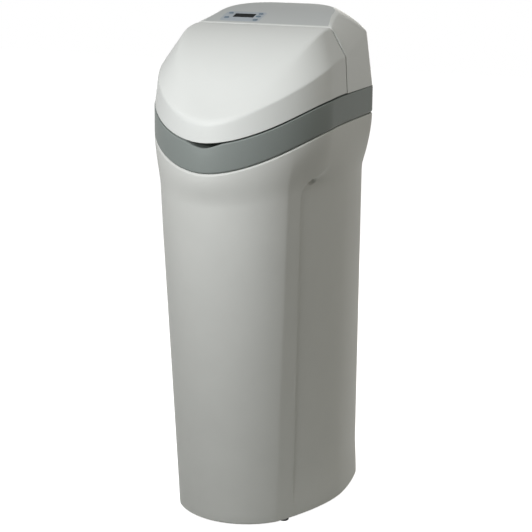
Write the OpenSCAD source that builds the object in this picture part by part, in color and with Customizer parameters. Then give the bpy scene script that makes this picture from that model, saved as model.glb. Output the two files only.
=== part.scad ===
// Cabinet water softener: a salt tank with a bowed front carries a dark rim, a hinged salt lid and a
// rear top cover; the resin tank, rotary valve, brine well and controls stand inside.
// Millimetres, +Z up, front towards -Y, origin at the middle of the footprint on the floor.

/* [Rim] */
// Width of the rim, the widest part
rim_w = 430; // [410:1:450]
// Depth of the rim, front to rear
rim_d = 546; // [530:1:570]
// Height of the rim band
rim_h = 66; // [58:1:76]
// Height of the rim's lower edge at the rear
rim_rear_z = 947; // [900:1:1000]
// Drop of the rim from its level rear part to the front
rim_drop = 80; // [60:1:95]
// Depth of the bowed front of the rim
bow_depth = 239; // [220:1:260]
// Width of the finger scoop in the front of the rim
scoop_w = 106; // [80:1:130]
// Depth of the finger scoop
scoop_depth = 9; // [6:0.5:12]

/* [Cabinet] */
// Wall of the cabinet
cabinet_wall = 5; // [4:0.5:7]
// Thickness of the cabinet floor
floor_t = 6; // [4:0.5:9]
// Height of the feet
foot_h = 6; // [4:0.5:9]
// Radius of a foot
foot_r = 13; // [10:0.5:16]
// How far the base is set back from the rim at the front
front_taper = 77; // [60:1:85]
// Half width at the crease between the front bow and the side, at the base
crease_x_base = 128; // [122:1:136]
// Half width at the same crease below the rim
crease_x_top = 163; // [155:1:168]
// Depth of the side recess
recess_depth = 3; // [2:0.5:4]
// Width of the strip between the crease and the side recess
strip_w = 45; // [35:1:55]
// Radius of the arch at the top of the side recess
arch_r = 48; // [40:1:56]
// Radius of the rear corners of the cabinet
corner_r = 50; // [42:1:58]

/* [Top] */
// Depth of the rear top cover
cover_d = 216; // [200:1:226]
// Height of the lid hinge edge above the rim
cover_h = 149; // [142:1:165]
// Slope of the control panel, degrees
panel_slope = 12; // [10:0.5:14]
// Rise of the panel's middle over the line from its front to its rear edge
panel_crown = 8; // [6:0.5:10]
// Wall of the lid and the top cover
shell_wall = 3.5; // [3:0.25:4.5]
// Gap between the salt lid and the top cover
seam_gap = 1.5; // [1.2:0.1:2]
// Shadow gap between the salt lid and the rim
lid_gap = 4; // [3:0.1:5]
// Radius of the lid's hinge bead
bead_r = 4; // [3.8:0.1:4.4]
// Diameter of a lid hinge pin
pin_d = 3; // [2.5:0.1:3.4]
// Width of a hinge ear
ear_w = 12; // [8:0.5:18]
// Thickness of the control faceplate
faceplate_t = 2.5; // [2:0.25:3.5]
// Width of the display window
display_w = 54; // [50:1:62]
// Height of the display window up the slope
display_h = 24; // [22:1:32]
// Width of a button
button_w = 12; // [10:0.5:13]
// Height of a button up the slope
button_h = 8; // [6:0.5:10]
// Travel of a button
button_travel = 1; // [0.8:0.1:1.2]

/* [Resin tank] */
// Radius of the resin tank
tank_r = 114; // [104:1:118]
// Wall of the resin tank
tank_wall = 4; // [3:0.5:6]
// Radius of the tank neck
neck_r = 40; // [38:0.5:42]
// Outer radius of the riser tube
riser_r = 13.4; // [12:0.2:14]

/* [Valve] */
// Radius of the valve drum
drum_r = 50; // [48:0.5:54]
// Half distance between the inlet and outlet ports
port_x = 48; // [44:0.5:54]
// Outer radius of a port
port_r = 19; // [18:0.5:20]
// Outer radius of an adaptor nipple, nominal one inch pipe thread
nipple_r = 16.6; // [15:0.1:17]
// Teeth of the drive gear
gear_teeth = 40; // [36:4:44]
// Teeth of the motor pinion
pinion_teeth = 10; // [9:1:11]
// Module of the gears
gear_module = 2; // [1.9:0.05:2.1]
// Radius of the drive motor
motor_r = 25; // [20:0.5:28]

/* [Brine well] */
// Radius of the brine well
well_r = 45; // [42:0.5:48]
// Height of the brine well above the tank floor
well_h = 748; // [640:1:800]
// Distance of the brine well's axis from the side of the rim
well_in = 95; // [91:1:99]
// Radius of the float
float_r = 27; // [22:0.5:29]
// Travel of the float
float_travel = 40; // [30:1:60]
// Outer radius of the brine tube
tube_r = 4.75; // [4:0.25:5.5]

/* [Hidden] */
$fn = 48;

// Clearances: seat between fixed pieces, run between moving ones, fit round a turning shaft
seat = 0.3;
run = 0.5;
fit = 0.05;
far = 1000;

shell_grey = "#d4d5d0";
cabinet_grey = "#cfcfc9";
rim_grey = "#757b77";
panel_grey = "#aaadac";
black = "#26282a";
valve_black = "#2f3133";
clear = "#9fb0b6";
steel = "#b9bcc0";
tank_blue = "#4d5f70";
board_green = "#2d5a3c";
brine_white = "#e2e2dc";

// Rim outline: a superellipse bow, sides that draw in a little, round rear corners
rear_y = rim_d / 2;
front_y = -rim_d / 2;
bow_n = 1.82;
bow_cy = front_y + bow_depth;
rear_draw = 2;
level_y = 5;
rise_power = 1.75;
rim_rear_r = corner_r + 2;

function rise(y) = pow(max(0, (level_y - y) / (level_y - front_y)), rise_power);
function rim_lo(y) = rim_rear_z - rim_drop * rise(y);
function rim_up(y) = rim_lo(y) + rim_h;
function smooth(u) = let (t = min(1, max(0, u))) t * t * (3 - 2 * t);
function rim_x(y, d) = y < bow_cy
    ? (rim_w / 2 - d) * pow(max(0, 1 - pow((bow_cy - y) / (bow_depth - d), bow_n)), 1 / bow_n)
    : rim_w / 2 - d - rear_draw * min(1, (y - bow_cy) / (rear_y - rim_rear_r - bow_cy));
function bow_y(x, d) =
    bow_cy - (bow_depth - d) * pow(max(0, 1 - pow(x / (rim_w / 2 - d), bow_n)), 1 / bow_n);

// Points of the plan outlines, counted from the front centre to the rear centre
bow_steps = 12;
side_steps = 6;
corner_steps = 6;

// Cabinet plan below the flare
cabinet_inset = 0.3;
base_front_y = front_y + front_taper;
top_front_y = front_y + 11;
crease_y_base = base_front_y + 58;
crease_y_top = top_front_y + 95;
// The sides swell to their widest behind the middle and draw in again to the rear corners
side_max_x = rim_w / 2 - 7;
side_max_y = rear_y - 180;
rear_in = 15;
body_rear_w = side_max_x - rear_in;
body_rear_y = rear_y - 2;
corner_turn = 13;
corner_y = body_rear_y - corner_r * (1 - sin(corner_turn));
flat_z = 700;
recess_step = 3;
arch_from = 0.38;
arch_to = 0.58;

function mix(a, b, u) = a + (b - a) * u;
function taper(z) = z / (rim_rear_z - rim_drop);
function crease(z) =
    [mix(crease_x_base, crease_x_top, taper(z)), mix(crease_y_base, crease_y_top, taper(z))];
function bow_front(z) = mix(base_front_y, top_front_y, taper(z));
function side_x(y, c) =
    side_max_x - (side_max_x - c[0]) * pow(max(0, 1 - (y - c[1]) / (side_max_y - c[1])), 1.7)
    - rear_in * pow(max(0, (y - side_max_y) / (corner_y - side_max_y)), 2);
// Front edge of the side recess at share w of the height above the flat part
function arch_share(w) = min(1, max(0, (w - arch_from) / (arch_to - arch_from)));
function recess_y(c, w) = c[1] + strip_w + arch_r * (1 - sqrt(1 - pow(arch_share(w), 2)));
function side_ys(c, w) = let (e = recess_y(c, w), r = corner_y)
    concat([mix(c[1], e, 0.5), e, e + recess_step], [for (i = [1:side_steps])
        mix(e + recess_step, r, i / side_steps)]);
function arc_points(cx, cy, r, a0, a1, n) = [for (i = [0:n]) let (t = mix(a0, a1, i / n))
    [cx + r * cos(t), cy + r * sin(t)]];
function tail(v) = [for (i = [1:len(v) - 1]) v[i]];
// Half of the body plan at height z, wall inset d, recess depth g
function body_half(z, w, d, g) =
    let (c = crease(z), f = bow_front(z) + d, cx = c[0] - 0.8 * d, cy = c[1] + 0.6 * d, h = cy - f,
        radius = (cx * cx + h * h) / (2 * h), turn = asin(cx / radius), ys = side_ys(c, w))
    concat(
        [for (i = [0:bow_steps]) let (t = turn * i / bow_steps)
            [radius * sin(t), f + radius * (1 - cos(t))]],
        [for (j = [0:len(ys) - 1]) [side_x(ys[j], c) - d - (j > 1 ? g : 0), ys[j]]],
        tail(arc_points(body_rear_w - corner_r * cos(corner_turn) - g, body_rear_y - corner_r,
            corner_r - d, corner_turn, 90, corner_steps)),
        [[0, body_rear_y - d]]);
// Half of the rim plan with the same count of points, wall inset d
function rim_half(d) =
    let (xc = rim_x(crease_y_top, d), ys = side_ys([0, crease_y_top], 1), r = rim_rear_r - d)
    concat([for (i = [0:bow_steps]) let (x = xc * sin(60 * i / bow_steps) / sin(60)) [x, bow_y(x, d)]],
        [for (y = ys) [rim_x(min(y, rear_y - rim_rear_r), d), min(y, rear_y - rim_rear_r)]],
        tail(arc_points(rim_w / 2 - rear_draw - rim_rear_r, rear_y - rim_rear_r, r, 0, 90, corner_steps)),
        [[0, rear_y - d]]);
function whole(h) = concat(h, [for (i = [len(h) - 2:-1:1]) [-h[i][0], h[i][1]]]);

// Solid lofted through closed rings of equal count, either a tub with end caps or a closed tube
function ring_quads(k, n, next) = [for (i = [0:n - 1]) let (j = (i + 1) % n)
    each [[k * n + i, next * n + i, next * n + j], [k * n + i, next * n + j, k * n + j]]];
module loft(rings, closed) {
    count = len(rings);
    n = len(rings[0]);
    walls = [for (k = [0:count - (closed ? 1 : 2)]) each ring_quads(k, n, (k + 1) % count)];
    caps = closed ? [] : [[for (i = [0:n - 1]) i], [for (i = [n - 1:-1:0]) (count - 1) * n + i]];
    polyhedron([for (r = rings) each r], concat(walls, caps), convexity = 10);
}

// Cabinet

base_z = foot_h;
floor_z = foot_h + floor_t;
base_round = 6;
recess_fade_z = 110;
lip_round = 3;
function level(pts, z) = [for (p = pts) [p[0], p[1], z]];
function flare(w, side) = side ? pow(sin(90 * min(1, max(0, (w - 0.48) / 0.52))), 1.3)
    : smooth((w - 0.5) / 0.5);
function side_point(i) = i > bow_steps + 2;
// Ring at share w between the flat part and the rim, wall inset d
function flared_ring(w, d, drop) =
    let (g = recess_depth * (1 - smooth((w - 0.5) / 0.08)),
        body = whole(body_half(mix(flat_z, rim_rear_z - rim_drop, w), w, d, w > arch_to ? 0 : g)),
        top = whole(rim_half(d + cabinet_inset)), half_count = len(body) / 2)
    [for (i = [0:len(body) - 1])
        let (k = i > half_count ? len(body) - i : i, f = flare(w, side_point(k)),
            y = mix(body[i][1], top[i][1], f))
        [mix(body[i][0], top[i][0], f), y, mix(flat_z, rim_lo(y), w) - drop]];
function flat_ring(z, d, g) = level(whole(body_half(z, 0, d, g)), z);
flare_shares = [0.38, 0.45, 0.51, 0.555, 0.58, 0.66, 0.76, 0.88, 0.97];
inner_shares = [0.97, 0.76, 0.51];

module cabinet() {
    color(cabinet_grey)
    difference() {
        loft(concat(
            [flat_ring(base_z, base_round, 0), flat_ring(base_z + base_round * 0.3, base_round * 0.3, 0),
                flat_ring(base_z + base_round, 0, 0), flat_ring(recess_fade_z, 0, recess_depth),
                flat_ring(flat_z, 0, recess_depth)],
            [for (w = flare_shares) flared_ring(w, 0, 0)],
            [flared_ring(1, 0, lip_round), flared_ring(1, lip_round, 0), flared_ring(1, cabinet_wall, 0)],
            [for (w = inner_shares) flared_ring(w, cabinet_wall, 0)],
            [flat_ring(flat_z, cabinet_wall, recess_depth),
                flat_ring(recess_fade_z, cabinet_wall, recess_depth),
                flat_ring(floor_z + base_round, cabinet_wall, 0),
                flat_ring(floor_z, cabinet_wall + base_round, 0)]), false);
        translate([grommet_x, body_rear_y, grommet_z])
            rotate([90, 0, 0])
                cylinder(r = grommet_r, h = 40, center = true);
    }
}

module feet() {
    color(black)
    for (p = [[crease_x_base + 4, crease_y_base + 38], [body_rear_w - 45, body_rear_y - 60]])
        for (s = [-1, 1])
            translate([s * p[0], p[1], 0])
                cylinder(r1 = foot_r - 1.5, r2 = foot_r, h = foot_h);
}

grommet_r = 11;
grommet_x = -95;
grommet_z = 690;
module overflow_grommet() {
    color(black)
    translate([grommet_x, body_rear_y, grommet_z])
        rotate([90, 0, 0])
            rotate_extrude()
                polygon([[7.5, -1.6], [grommet_r + 3, -1.6],
                    [grommet_r + 3, -seat], [grommet_r - fit, -seat],
                    [grommet_r - fit, cabinet_wall + seat], [grommet_r + 2.5, cabinet_wall + seat],
                    [grommet_r + 1, cabinet_wall + 4], [7.5, cabinet_wall + 4]]);
}

// Rim: outer band drawn in over the cabinet's lip, a gutter under the lid's edge, an upstand that the
// lid drops over, and an inner skirt inside the cabinet

lower_in = 2.4;
lower_h = 4;
gutter_in = 3.4;
gutter = 4;
scoop_well = 20;
scoop_push = 4;
scoop_room = 18;
upstand = 6;
ledge = 7.3;
rim_inner = 9;
skirt_drop = 8;
skirt_lead = 1.2;
function scoop(x, y) = y > 0 ? 0 : pow(cos(min(90, 180 * abs(x) / scoop_w)), 2);
function rim_ring(d, hi, dz, dip, push) = [for (p = whole(rim_half(d)))
    let (s = scoop(p[0], p[1])) [p[0], p[1] + push * s, (hi ? rim_up(p[1]) : rim_lo(p[1])) + dz - dip * s]];
module rim() {
    color(rim_grey)
    loft([rim_ring(lower_in, false, seat, 0, 0), rim_ring(0, false, lower_h, 0, 0),
        rim_ring(0.3, true, -22, 0, 0), rim_ring(0.6, true, -2, scoop_depth - 1, 0.6 * scoop_push),
        rim_ring(1.8, true, 0, scoop_depth, scoop_push),
        rim_ring(gutter_in, true, 0, scoop_depth, scoop_push),
        rim_ring(gutter_in, true, -gutter, scoop_well, scoop_push),
        rim_ring(ledge, true, -gutter, scoop_well, scoop_room),
        rim_ring(ledge, true, upstand, 0, scoop_room),
        rim_ring(rim_inner, true, upstand, 0, scoop_room),
        rim_ring(rim_inner, false, -skirt_drop, 0, 0),
        rim_ring(cabinet_inset + cabinet_wall + seat + skirt_lead, false, -skirt_drop, 0, 0),
        rim_ring(cabinet_inset + cabinet_wall + seat, false, seat, 0, 0)], true);
}

// Salt lid and top cover share the seam plane, the side crease and the top edge

seam_y = rear_y - cover_d;
rim_top_z = rim_rear_z + rim_h;
seam_z = rim_top_z + cover_h;
lid_inset = 2;
lid_end = seam_y - seam_gap;
lid_side_steps = 4;
// Plan and height of a lid ring: half width, front place, bow depth, exponent, seam and front height, power
lid_crease = [rim_w / 2 - 7.5, front_y + 7, bow_depth - 5, 1.76, seam_z - 65, rim_up(front_y) + 41, 1.71];
lid_top = [rim_w / 2 - 46, front_y + 61, bow_depth - 14, 1.86, seam_z, rim_up(front_y) + 79, 1.94];
function lid_plan(a, f, b, n, d) = concat(
    [for (i = [0:bow_steps]) let (t = 90 * i / bow_steps)
        [(a - d) * pow(sin(t), 2 / n), f + b - (b - d) * pow(cos(t), 2 / n)]],
    [for (i = [1:lid_side_steps]) [a - d, mix(f + b, lid_end, i / lid_side_steps)]]);
function lid_ring(r, d) = [for (p = lid_plan(r[0], r[1], r[2], r[3], d))
    [p[0], p[1], r[4] - (r[4] - r[5]) * pow(max(0, (seam_y - p[1]) / (seam_y - r[1])), r[6]) - d]];
function lip_ring(d, dz) =
    [for (p = lid_plan(rim_w / 2 - lid_inset, front_y + lid_inset, bow_depth - lid_inset, bow_n, d))
    [p[0], p[1], rim_up(p[1]) + lid_gap + dz]];
function arch_ring(h) = concat([for (i = [len(h) - 1:-1:1]) [-h[i][0], h[i][1], h[i][2]]], h);
function blend_ring(p, q, u) = [for (i = [0:len(p) - 1]) mix(p[i], q[i], u)];

// Shell lofted through rings that are open at the seam; the last outer and inner ring close across the top
module open_shell(outer, inner) {
    n = len(outer[0]);
    m = len(outer);
    mid = (n - 1) / 2;
    pts = concat([for (r = outer) each r], [for (r = inner) each r]);
    function o(k, i) = k * n + i;
    function q(k, i) = (m + k) * n + i;
    outer_walls = [for (k = [0:m - 2]) for (i = [0:n - 2])
        each [[o(k, i), o(k + 1, i), o(k + 1, i + 1)], [o(k, i), o(k + 1, i + 1), o(k, i + 1)]]];
    inner_walls = [for (k = [0:m - 2]) for (i = [0:n - 2])
        each [[q(k, i), q(k + 1, i + 1), q(k + 1, i)], [q(k, i), q(k, i + 1), q(k + 1, i + 1)]]];
    outer_top = [for (i = [0:mid - 2])
        each [[o(m - 1, i), o(m - 1, n - 1 - i), o(m - 1, n - 2 - i)],
            [o(m - 1, i), o(m - 1, n - 2 - i), o(m - 1, i + 1)]]];
    inner_top = [for (i = [0:mid - 2])
        each [[q(m - 1, i), q(m - 1, n - 2 - i), q(m - 1, n - 1 - i)],
            [q(m - 1, i), q(m - 1, i + 1), q(m - 1, n - 2 - i)]]];
    tips = [[o(m - 1, mid - 1), o(m - 1, mid + 1), o(m - 1, mid)],
        [q(m - 1, mid - 1), q(m - 1, mid), q(m - 1, mid + 1)]];
    lip = [for (i = [0:n - 2]) each [[o(0, i), o(0, i + 1), q(0, i + 1)], [o(0, i), q(0, i + 1), q(0, i)]]];
    seam_left = [for (k = [0:m - 2])
        each [[o(k, 0), q(k, 0), q(k + 1, 0)], [o(k, 0), q(k + 1, 0), o(k + 1, 0)]]];
    seam_right = [for (k = [0:m - 2])
        each [[o(k, n - 1), q(k + 1, n - 1), q(k, n - 1)],
            [o(k, n - 1), o(k + 1, n - 1), q(k + 1, n - 1)]]];
    seam_top = [[o(m - 1, 0), q(m - 1, 0), q(m - 1, n - 1)],
        [o(m - 1, 0), q(m - 1, n - 1), o(m - 1, n - 1)]];
    faces = concat(outer_walls, inner_walls, outer_top, inner_top, tips, lip,
        seam_left, seam_right, seam_top);
    polyhedron(pts, faces,
        convexity = 10);
}

hinge_y = lid_end - bead_r;
hinge_z = seam_z - bead_r;
bead_half = rim_w / 2 - 66;
ear_x = 112;
module along_x(x0, x1, r) {
    translate([x0, hinge_y, hinge_z])
        rotate([0, 90, 0])
            cylinder(r = r, h = x1 - x0);
}
module salt_lid() {
    lip = lip_ring(0, 0);
    crease = lid_ring(lid_crease, 0);
    top = lid_ring(lid_top, 0);
    inner_crease = lid_ring(lid_crease, shell_wall);
    color(shell_grey)
    difference() {
        union() {
            difference() {
                open_shell([arch_ring(lip), arch_ring(blend_ring(lip, crease, 0.93)),
                    arch_ring(blend_ring(crease, top, 0.06)), arch_ring(blend_ring(crease, top, 0.93)),
                    arch_ring(top)],
                    [arch_ring(lip_ring(shell_wall, 0)),
                        arch_ring(blend_ring(lip_ring(shell_wall, 0), inner_crease, 0.93)),
                        arch_ring(inner_crease),
                        arch_ring(blend_ring(inner_crease, lid_ring(lid_top, shell_wall), 0.9)),
                        arch_ring(lid_ring(lid_top, shell_wall))]);
                translate([-far / 2, hinge_y, hinge_z])
                    cube([far, bead_r + 1, bead_r + 1]);
            }
            along_x(-bead_half, bead_half, bead_r);
        }
        for (s = [-1, 1])
            translate([s * ear_x - ear_w / 2 - run, hinge_y - bead_r - run, hinge_z - 2 * bead_r])
                cube([ear_w + 2 * run, 4 * bead_r, 4 * bead_r]);
        for (s = [-1, 1])
            along_x(s * ear_x - pin_half, s * ear_x + pin_half, pin_d / 2 + fit);
    }
}

pin_half = ear_w / 2 + 14;
module lid_hinge_pins() {
    color(steel)
    for (s = [-1, 1])
        along_x(s * ear_x - pin_half + 1, s * ear_x + pin_half - 1, pin_d / 2);
}

// Cover rings: half plans from the front centre round the right side to the rear centre
function cover_half(a, ar, yb, r, d, wall) = concat(
    [for (i = [0:2]) [(a - d) * i / 2, seam_y + wall]],
    [for (i = [1:side_steps]) let (u = i / side_steps) [mix(a, ar, u) - d, mix(seam_y + wall, yb - r, u)]],
    tail(arc_points(ar - r, yb - r, r - d, 0, 90, corner_steps + 2)),
    [[0, yb - d]]);
top_rear_y = rear_y - 28;
function panel_z(y) = seam_z + (y - seam_y) * tan(panel_slope);
cover_crease_rise = 47;
function crease_z(y) = seam_z - 65 + cover_crease_rise * (y - seam_y) / (rear_y - 3 - seam_y);
function cover_base(d, wall, z) =
    level(whole(cover_half(rim_w / 2 - lid_inset, rim_w / 2 - lid_inset - rear_draw + 1,
        rear_y - lid_inset, rim_rear_r, d, wall)), z);
function cover_crease(d, wall) =
    [for (p = whole(cover_half(rim_w / 2 - 7.5, rim_w / 2 - 26, rear_y - 3, 34, d, wall)))
        [p[0], p[1], crease_z(p[1]) - 0.5 * d]];
// The panel is crowned: an arc from its front edge to its rear edge, measured along the slope
panel_len = (top_rear_y - seam_y) / cos(panel_slope);
crown_r = (panel_len * panel_len / 4 + panel_crown * panel_crown) / (2 * panel_crown);
function along(y) = (y - seam_y) / cos(panel_slope);
function bump(s) = sqrt(pow(crown_r, 2) - pow(s - panel_len / 2, 2)) - crown_r + panel_crown;
// The lip round the panel falls outward, except at the seam
lip_fall = 4;
function fall(s) = lip_fall * smooth(s / 40);
function top_plan(d, wall) =
    whole(cover_half(rim_w / 2 - 46, rim_w / 2 - 62, top_rear_y, 118, d, wall));
// Top ring, or one sunk square to the slope by the drop, at a share of the lip's fall
function cover_top(d, wall, drop, share) =
    [for (p = top_plan(d, wall))
        let (sunk = drop - bump(along(p[1])) + share * fall(along(p[1])))
        [p[0], p[1] + sunk * sin(panel_slope), panel_z(p[1]) - sunk * cos(panel_slope)]];
// Ring between the crease and the top edge; the bevel bulges a little
bevel_bulge = 5;
function cover_bevel(d, wall) = let (c = cover_crease(d, wall), t = cover_top(d, wall, 0, 1))
    [for (i = [0:len(c) - 1]) let (m = mix(c[i], t[i], 0.5), front = m[1] < seam_y + wall + 1 ? 0.5 : 1)
        [m[0] * (1 + front * bevel_bulge / rim_w), m[1] + (m[1] > rear_y - 60 ? 0.4 * bevel_bulge : 0),
            m[2] + 0.6 * front * bevel_bulge]];
lip_w = 10;
seat_w = 3;
recess = faceplate_t + 0.8;
front_lip = 7;
pipe_opening_w = 2 * port_x + 90;
module ear(s) {
    arm_h = bead_r + 1;
    translate([s * ear_x - ear_w / 2, hinge_y, hinge_z])
        rotate([0, 90, 0])
            cylinder(r = bead_r, h = ear_w);
    translate([s * ear_x - ear_w / 2, hinge_y, hinge_z - bead_r])
        cube([ear_w, seam_y - hinge_y + 1, arm_h]);
}
// Notch of the front wall where the rim's upstand passes through
module upstand_notch(s) {
    notch_w = rim_inner - ledge + 2;
    middle = rim_x(seam_y, (ledge + rim_inner) / 2);
    translate([s * middle - notch_w / 2, seam_y - 1, rim_top_z - 1])
        cube([notch_w, shell_wall + 2, upstand + 2]);
}
module top_cover() {
    color(shell_grey)
    difference() {
        union() {
            loft([cover_base(0, 0, rim_top_z + seat), cover_crease(0, 0), cover_bevel(0, 0),
                cover_top(1.5, 0, 1, 0.9), cover_top(3, 1.5, 0, 0.7),
                cover_top(lip_w, front_lip, 0, 0), cover_top(lip_w, front_lip, recess + seat, 0),
                cover_top(lip_w + seat_w, front_lip + seat_w, recess + seat, 0),
                cover_top(lip_w + seat_w, front_lip + seat_w, recess + shell_wall, 0),
                cover_top(shell_wall + 5, shell_wall, recess + shell_wall, 0.5),
                cover_crease(shell_wall + 1.5, shell_wall),
                cover_base(shell_wall, shell_wall, rim_top_z + seat)], true);
            for (s = [-1, 1])
                ear(s);
        }
        translate([-pipe_opening_w / 2, rear_y - 60, rim_top_z - 1])
            cube([pipe_opening_w, 80, port_z + port_r + 14 - rim_top_z]);
        for (s = [-1, 1])
            upstand_notch(s);
        for (s = [-1, 1])
            along_x(s * ear_x - far / 20, s * ear_x + far / 20, pin_d / 2 + fit);
    }
}

// Control panel: a crowned plate on the slope of the cover, with keys and display on a flat board below

module on_slope() {
    translate([0, seam_y, seam_z])
        rotate([panel_slope, 0, 0])
            children();
}
// Frame that touches the crowned panel amid the keys
key_s = 45;
key_tilt = asin((panel_len / 2 - key_s) / crown_r);
module on_panel() {
    on_slope()
        translate([0, key_s, bump(key_s)])
            rotate([key_tilt, 0, 0])
                translate([0, -key_s, 0])
                    children();
}
// How far the crowned panel lies below that frame
function sag(s) = crown_r - sqrt(pow(crown_r, 2) - pow(s - key_s, 2));
function flat_panel(d, wall) = [for (p = top_plan(d, wall)) [p[0], along(p[1])]];
module crowned(r, h) {
    translate([-h / 2, panel_len / 2, panel_crown - crown_r])
        rotate([0, 90, 0])
            cylinder(r = r, h = h, $fn = 360);
}
column_left = -(rim_w / 2 - 104);
column_right = column_left + 78;
display_x = column_left + 40;
display_s = 50;
row_high = 62;
row_mid = 45;
row_low = 25;
button_places = [[column_left, row_high], [column_left, row_low + 9], [column_right, row_high],
    [column_right, row_mid], [column_right, row_low]];
panel_top = -(recess - faceplate_t);
board_t = 1.6;
board_drop = 13;
board_top = panel_top - board_drop;
board_x = [column_left - 11, column_right + 16];
board_s = [row_low - 14, row_high + 14];
boss_places = [for (x = [board_x[0] + 13, board_x[1] - 5])
    for (s = [board_s[0] + 4.5, board_s[1] - 4.5]) [x, s]];
module pill(w, h, t) {
    linear_extrude(t)
        square([w - h, h], center = true);
    for (s = [-1, 1])
        translate([s * (w - h) / 2, 0, 0])
            cylinder(d = h, h = t);
}
key_gap = 0.5;
boss_root = 1;
screw_d = 2.4;
screw_l = 7;
module faceplate() {
    color(panel_grey)
    difference() {
        union() {
            on_slope()
            difference() {
                intersection() {
                    translate([0, 0, -10])
                        linear_extrude(30)
                            polygon(flat_panel(lip_w + seat, front_lip + seat));
                    crowned(crown_r + panel_top, far);
                }
                crowned(crown_r + panel_top - faceplate_t, far + 2);
            }
            on_panel()
            for (p = boss_places)
                translate([p[0], p[1], board_top])
                    cylinder(d = 7, h = board_drop - faceplate_t - sag(p[1]) + boss_root);
        }
        on_panel() {
            translate([display_x, display_s, panel_top - faceplate_t / 2])
                cube([display_w, display_h, 3 * faceplate_t], center = true);
            for (p = button_places)
                translate([p[0], p[1], panel_top - 2 * faceplate_t])
                    pill(button_w + 2 * run, button_h + 2 * run, 4 * faceplate_t);
            for (p = boss_places)
                translate([p[0], p[1], board_top - 1])
                    cylinder(d = screw_d + 0.1, h = screw_l);
        }
    }
}
module display_window() {
    color(clear)
    on_panel()
        translate([display_x, display_s, panel_top - 0.4 - 0.75])
            cube([display_w - 2 * seat, display_h - 2 * seat, 1.5], center = true);
}
key_flange = 2;
module display_module() {
    module_h = board_drop - faceplate_t - 1.1;
    color(black)
    on_panel()
        translate([display_x - display_w / 2 - 2, display_s - display_h / 2 - 2, board_top])
            difference() {
                cube([display_w + 4, display_h + 4, module_h]);
                translate([5, 5, module_h - 1])
                    cube([display_w - 6, display_h - 6, 2]);
            }
}
module control_board() {
    switch_h = board_drop - faceplate_t - key_gap - key_flange - button_travel - 2 * seat;
    color(board_green)
    on_panel() {
        difference() {
            translate([board_x[0], board_s[0], board_top - board_t])
                cube([board_x[1] - board_x[0], board_s[1] - board_s[0], board_t]);
            for (p = boss_places)
                translate([p[0], p[1], board_top - 2 * board_t])
                    cylinder(d = 3.2, h = 4 * board_t);
        }
        for (p = button_places)
            translate([p[0] - 3, p[1] - 3, board_top])
                cube([6, 6, switch_h - sag(p[1])]);
    }
}
module board_screws() {
    color(steel)
    on_panel()
    for (p = boss_places)
        translate([p[0], p[1], board_top - board_t]) {
            translate([0, 0, -2])
                cylinder(d = 5.5, h = 2);
            cylinder(d = screw_d, h = screw_l);
        }
}
module push_button(place) {
    color("#c3c9cc")
    on_panel()
        translate([button_places[place][0], button_places[place][1], -sag(button_places[place][1])]) {
            translate([0, 0, panel_top - faceplate_t - key_gap])
                pill(button_w, button_h, faceplate_t + key_gap + button_travel + 0.4);
            translate([0, 0, panel_top - faceplate_t - key_gap - key_flange])
                pill(button_w + 2, button_h + 2, key_flange);
        }
}
module select_button() push_button(0);
module set_button() push_button(1);
module up_button() push_button(2);
module down_button() push_button(3);
module recharge_button() push_button(4);

// Resin tank on the cabinet floor at the rear

tank_gap = 12;
tank_y = body_rear_y - cabinet_wall - tank_gap - tank_r;
neck_top = rim_rear_z + 13;
flange_t = 10;
flange_r = neck_r + 6;
neck_bore = neck_r - 6;
dome_h = 60;
dome_z = neck_top - 30 - dome_h;
foot_dish = 24;
module at_tank() {
    translate([0, tank_y, 0])
        children();
}
function dome_points(r, n) = [for (i = [0:7]) let (t = 90 * i / 7)
    [n + (r - n) * cos(t), dome_z + (dome_h - (tank_r - r)) * sin(t)]];
function back(v) = [for (i = [len(v) - 1:-1:0]) v[i]];
module resin_tank() {
    inner = tank_r - tank_wall;
    color(tank_blue)
    at_tank()
        rotate_extrude($fn = 72)
            polygon(concat([[0, floor_z], [tank_r - foot_dish, floor_z],
                    [tank_r - 7, floor_z + 7], [tank_r, floor_z + foot_dish]],
                dome_points(tank_r, neck_r),
                [[neck_r, neck_top - flange_t], [flange_r, neck_top - flange_t],
                    [flange_r, neck_top], [neck_bore, neck_top]],
                back(dome_points(inner, neck_bore)),
                [[inner, floor_z + foot_dish], [inner - 7, floor_z + 8],
                    [inner - foot_dish, floor_z + tank_wall], [0, floor_z + tank_wall]]));
}
spigot_z = neck_top - 12;
riser_top = neck_top + 10;
basket_z = floor_z + tank_wall;
basket_h = 44;
basket_r = 30;
module riser_tube() {
    color(brine_white)
    at_tank()
        translate([0, 0, basket_z + 6])
            difference() {
                cylinder(r = riser_r, h = riser_top - basket_z - 6);
                translate([0, 0, -1])
                    cylinder(r = riser_r - 2.5, h = far * 2);
            }
}
slot_count = 16;
module slotted_ring(r, h, bore, from, to) {
    difference() {
        cylinder(r = r, h = h);
        translate([0, 0, from])
            cylinder(r = bore, h = h);
        for (i = [0:slot_count - 1])
            rotate([0, 0, 360 * i / slot_count])
                translate([bore + 2, -0.6, from])
                    cube([r, 1.2, to - from]);
    }
}
module bottom_distributor() {
    color(brine_white)
    at_tank()
        translate([0, 0, basket_z])
            slotted_ring(basket_r, basket_h, riser_r + fit, 6, basket_h - 6);
}
module top_distributor() {
    color(brine_white)
    at_tank()
        translate([0, 0, spigot_z - 12])
            difference() {
                slotted_ring(neck_bore - 1, 12, riser_r + fit, 3, 9);
                translate([0, 0, -1])
                    cylinder(r = riser_r + fit, h = 8);
            }
}

// Valve body on the tank neck, with the inlet and outlet ports to the rear

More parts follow.
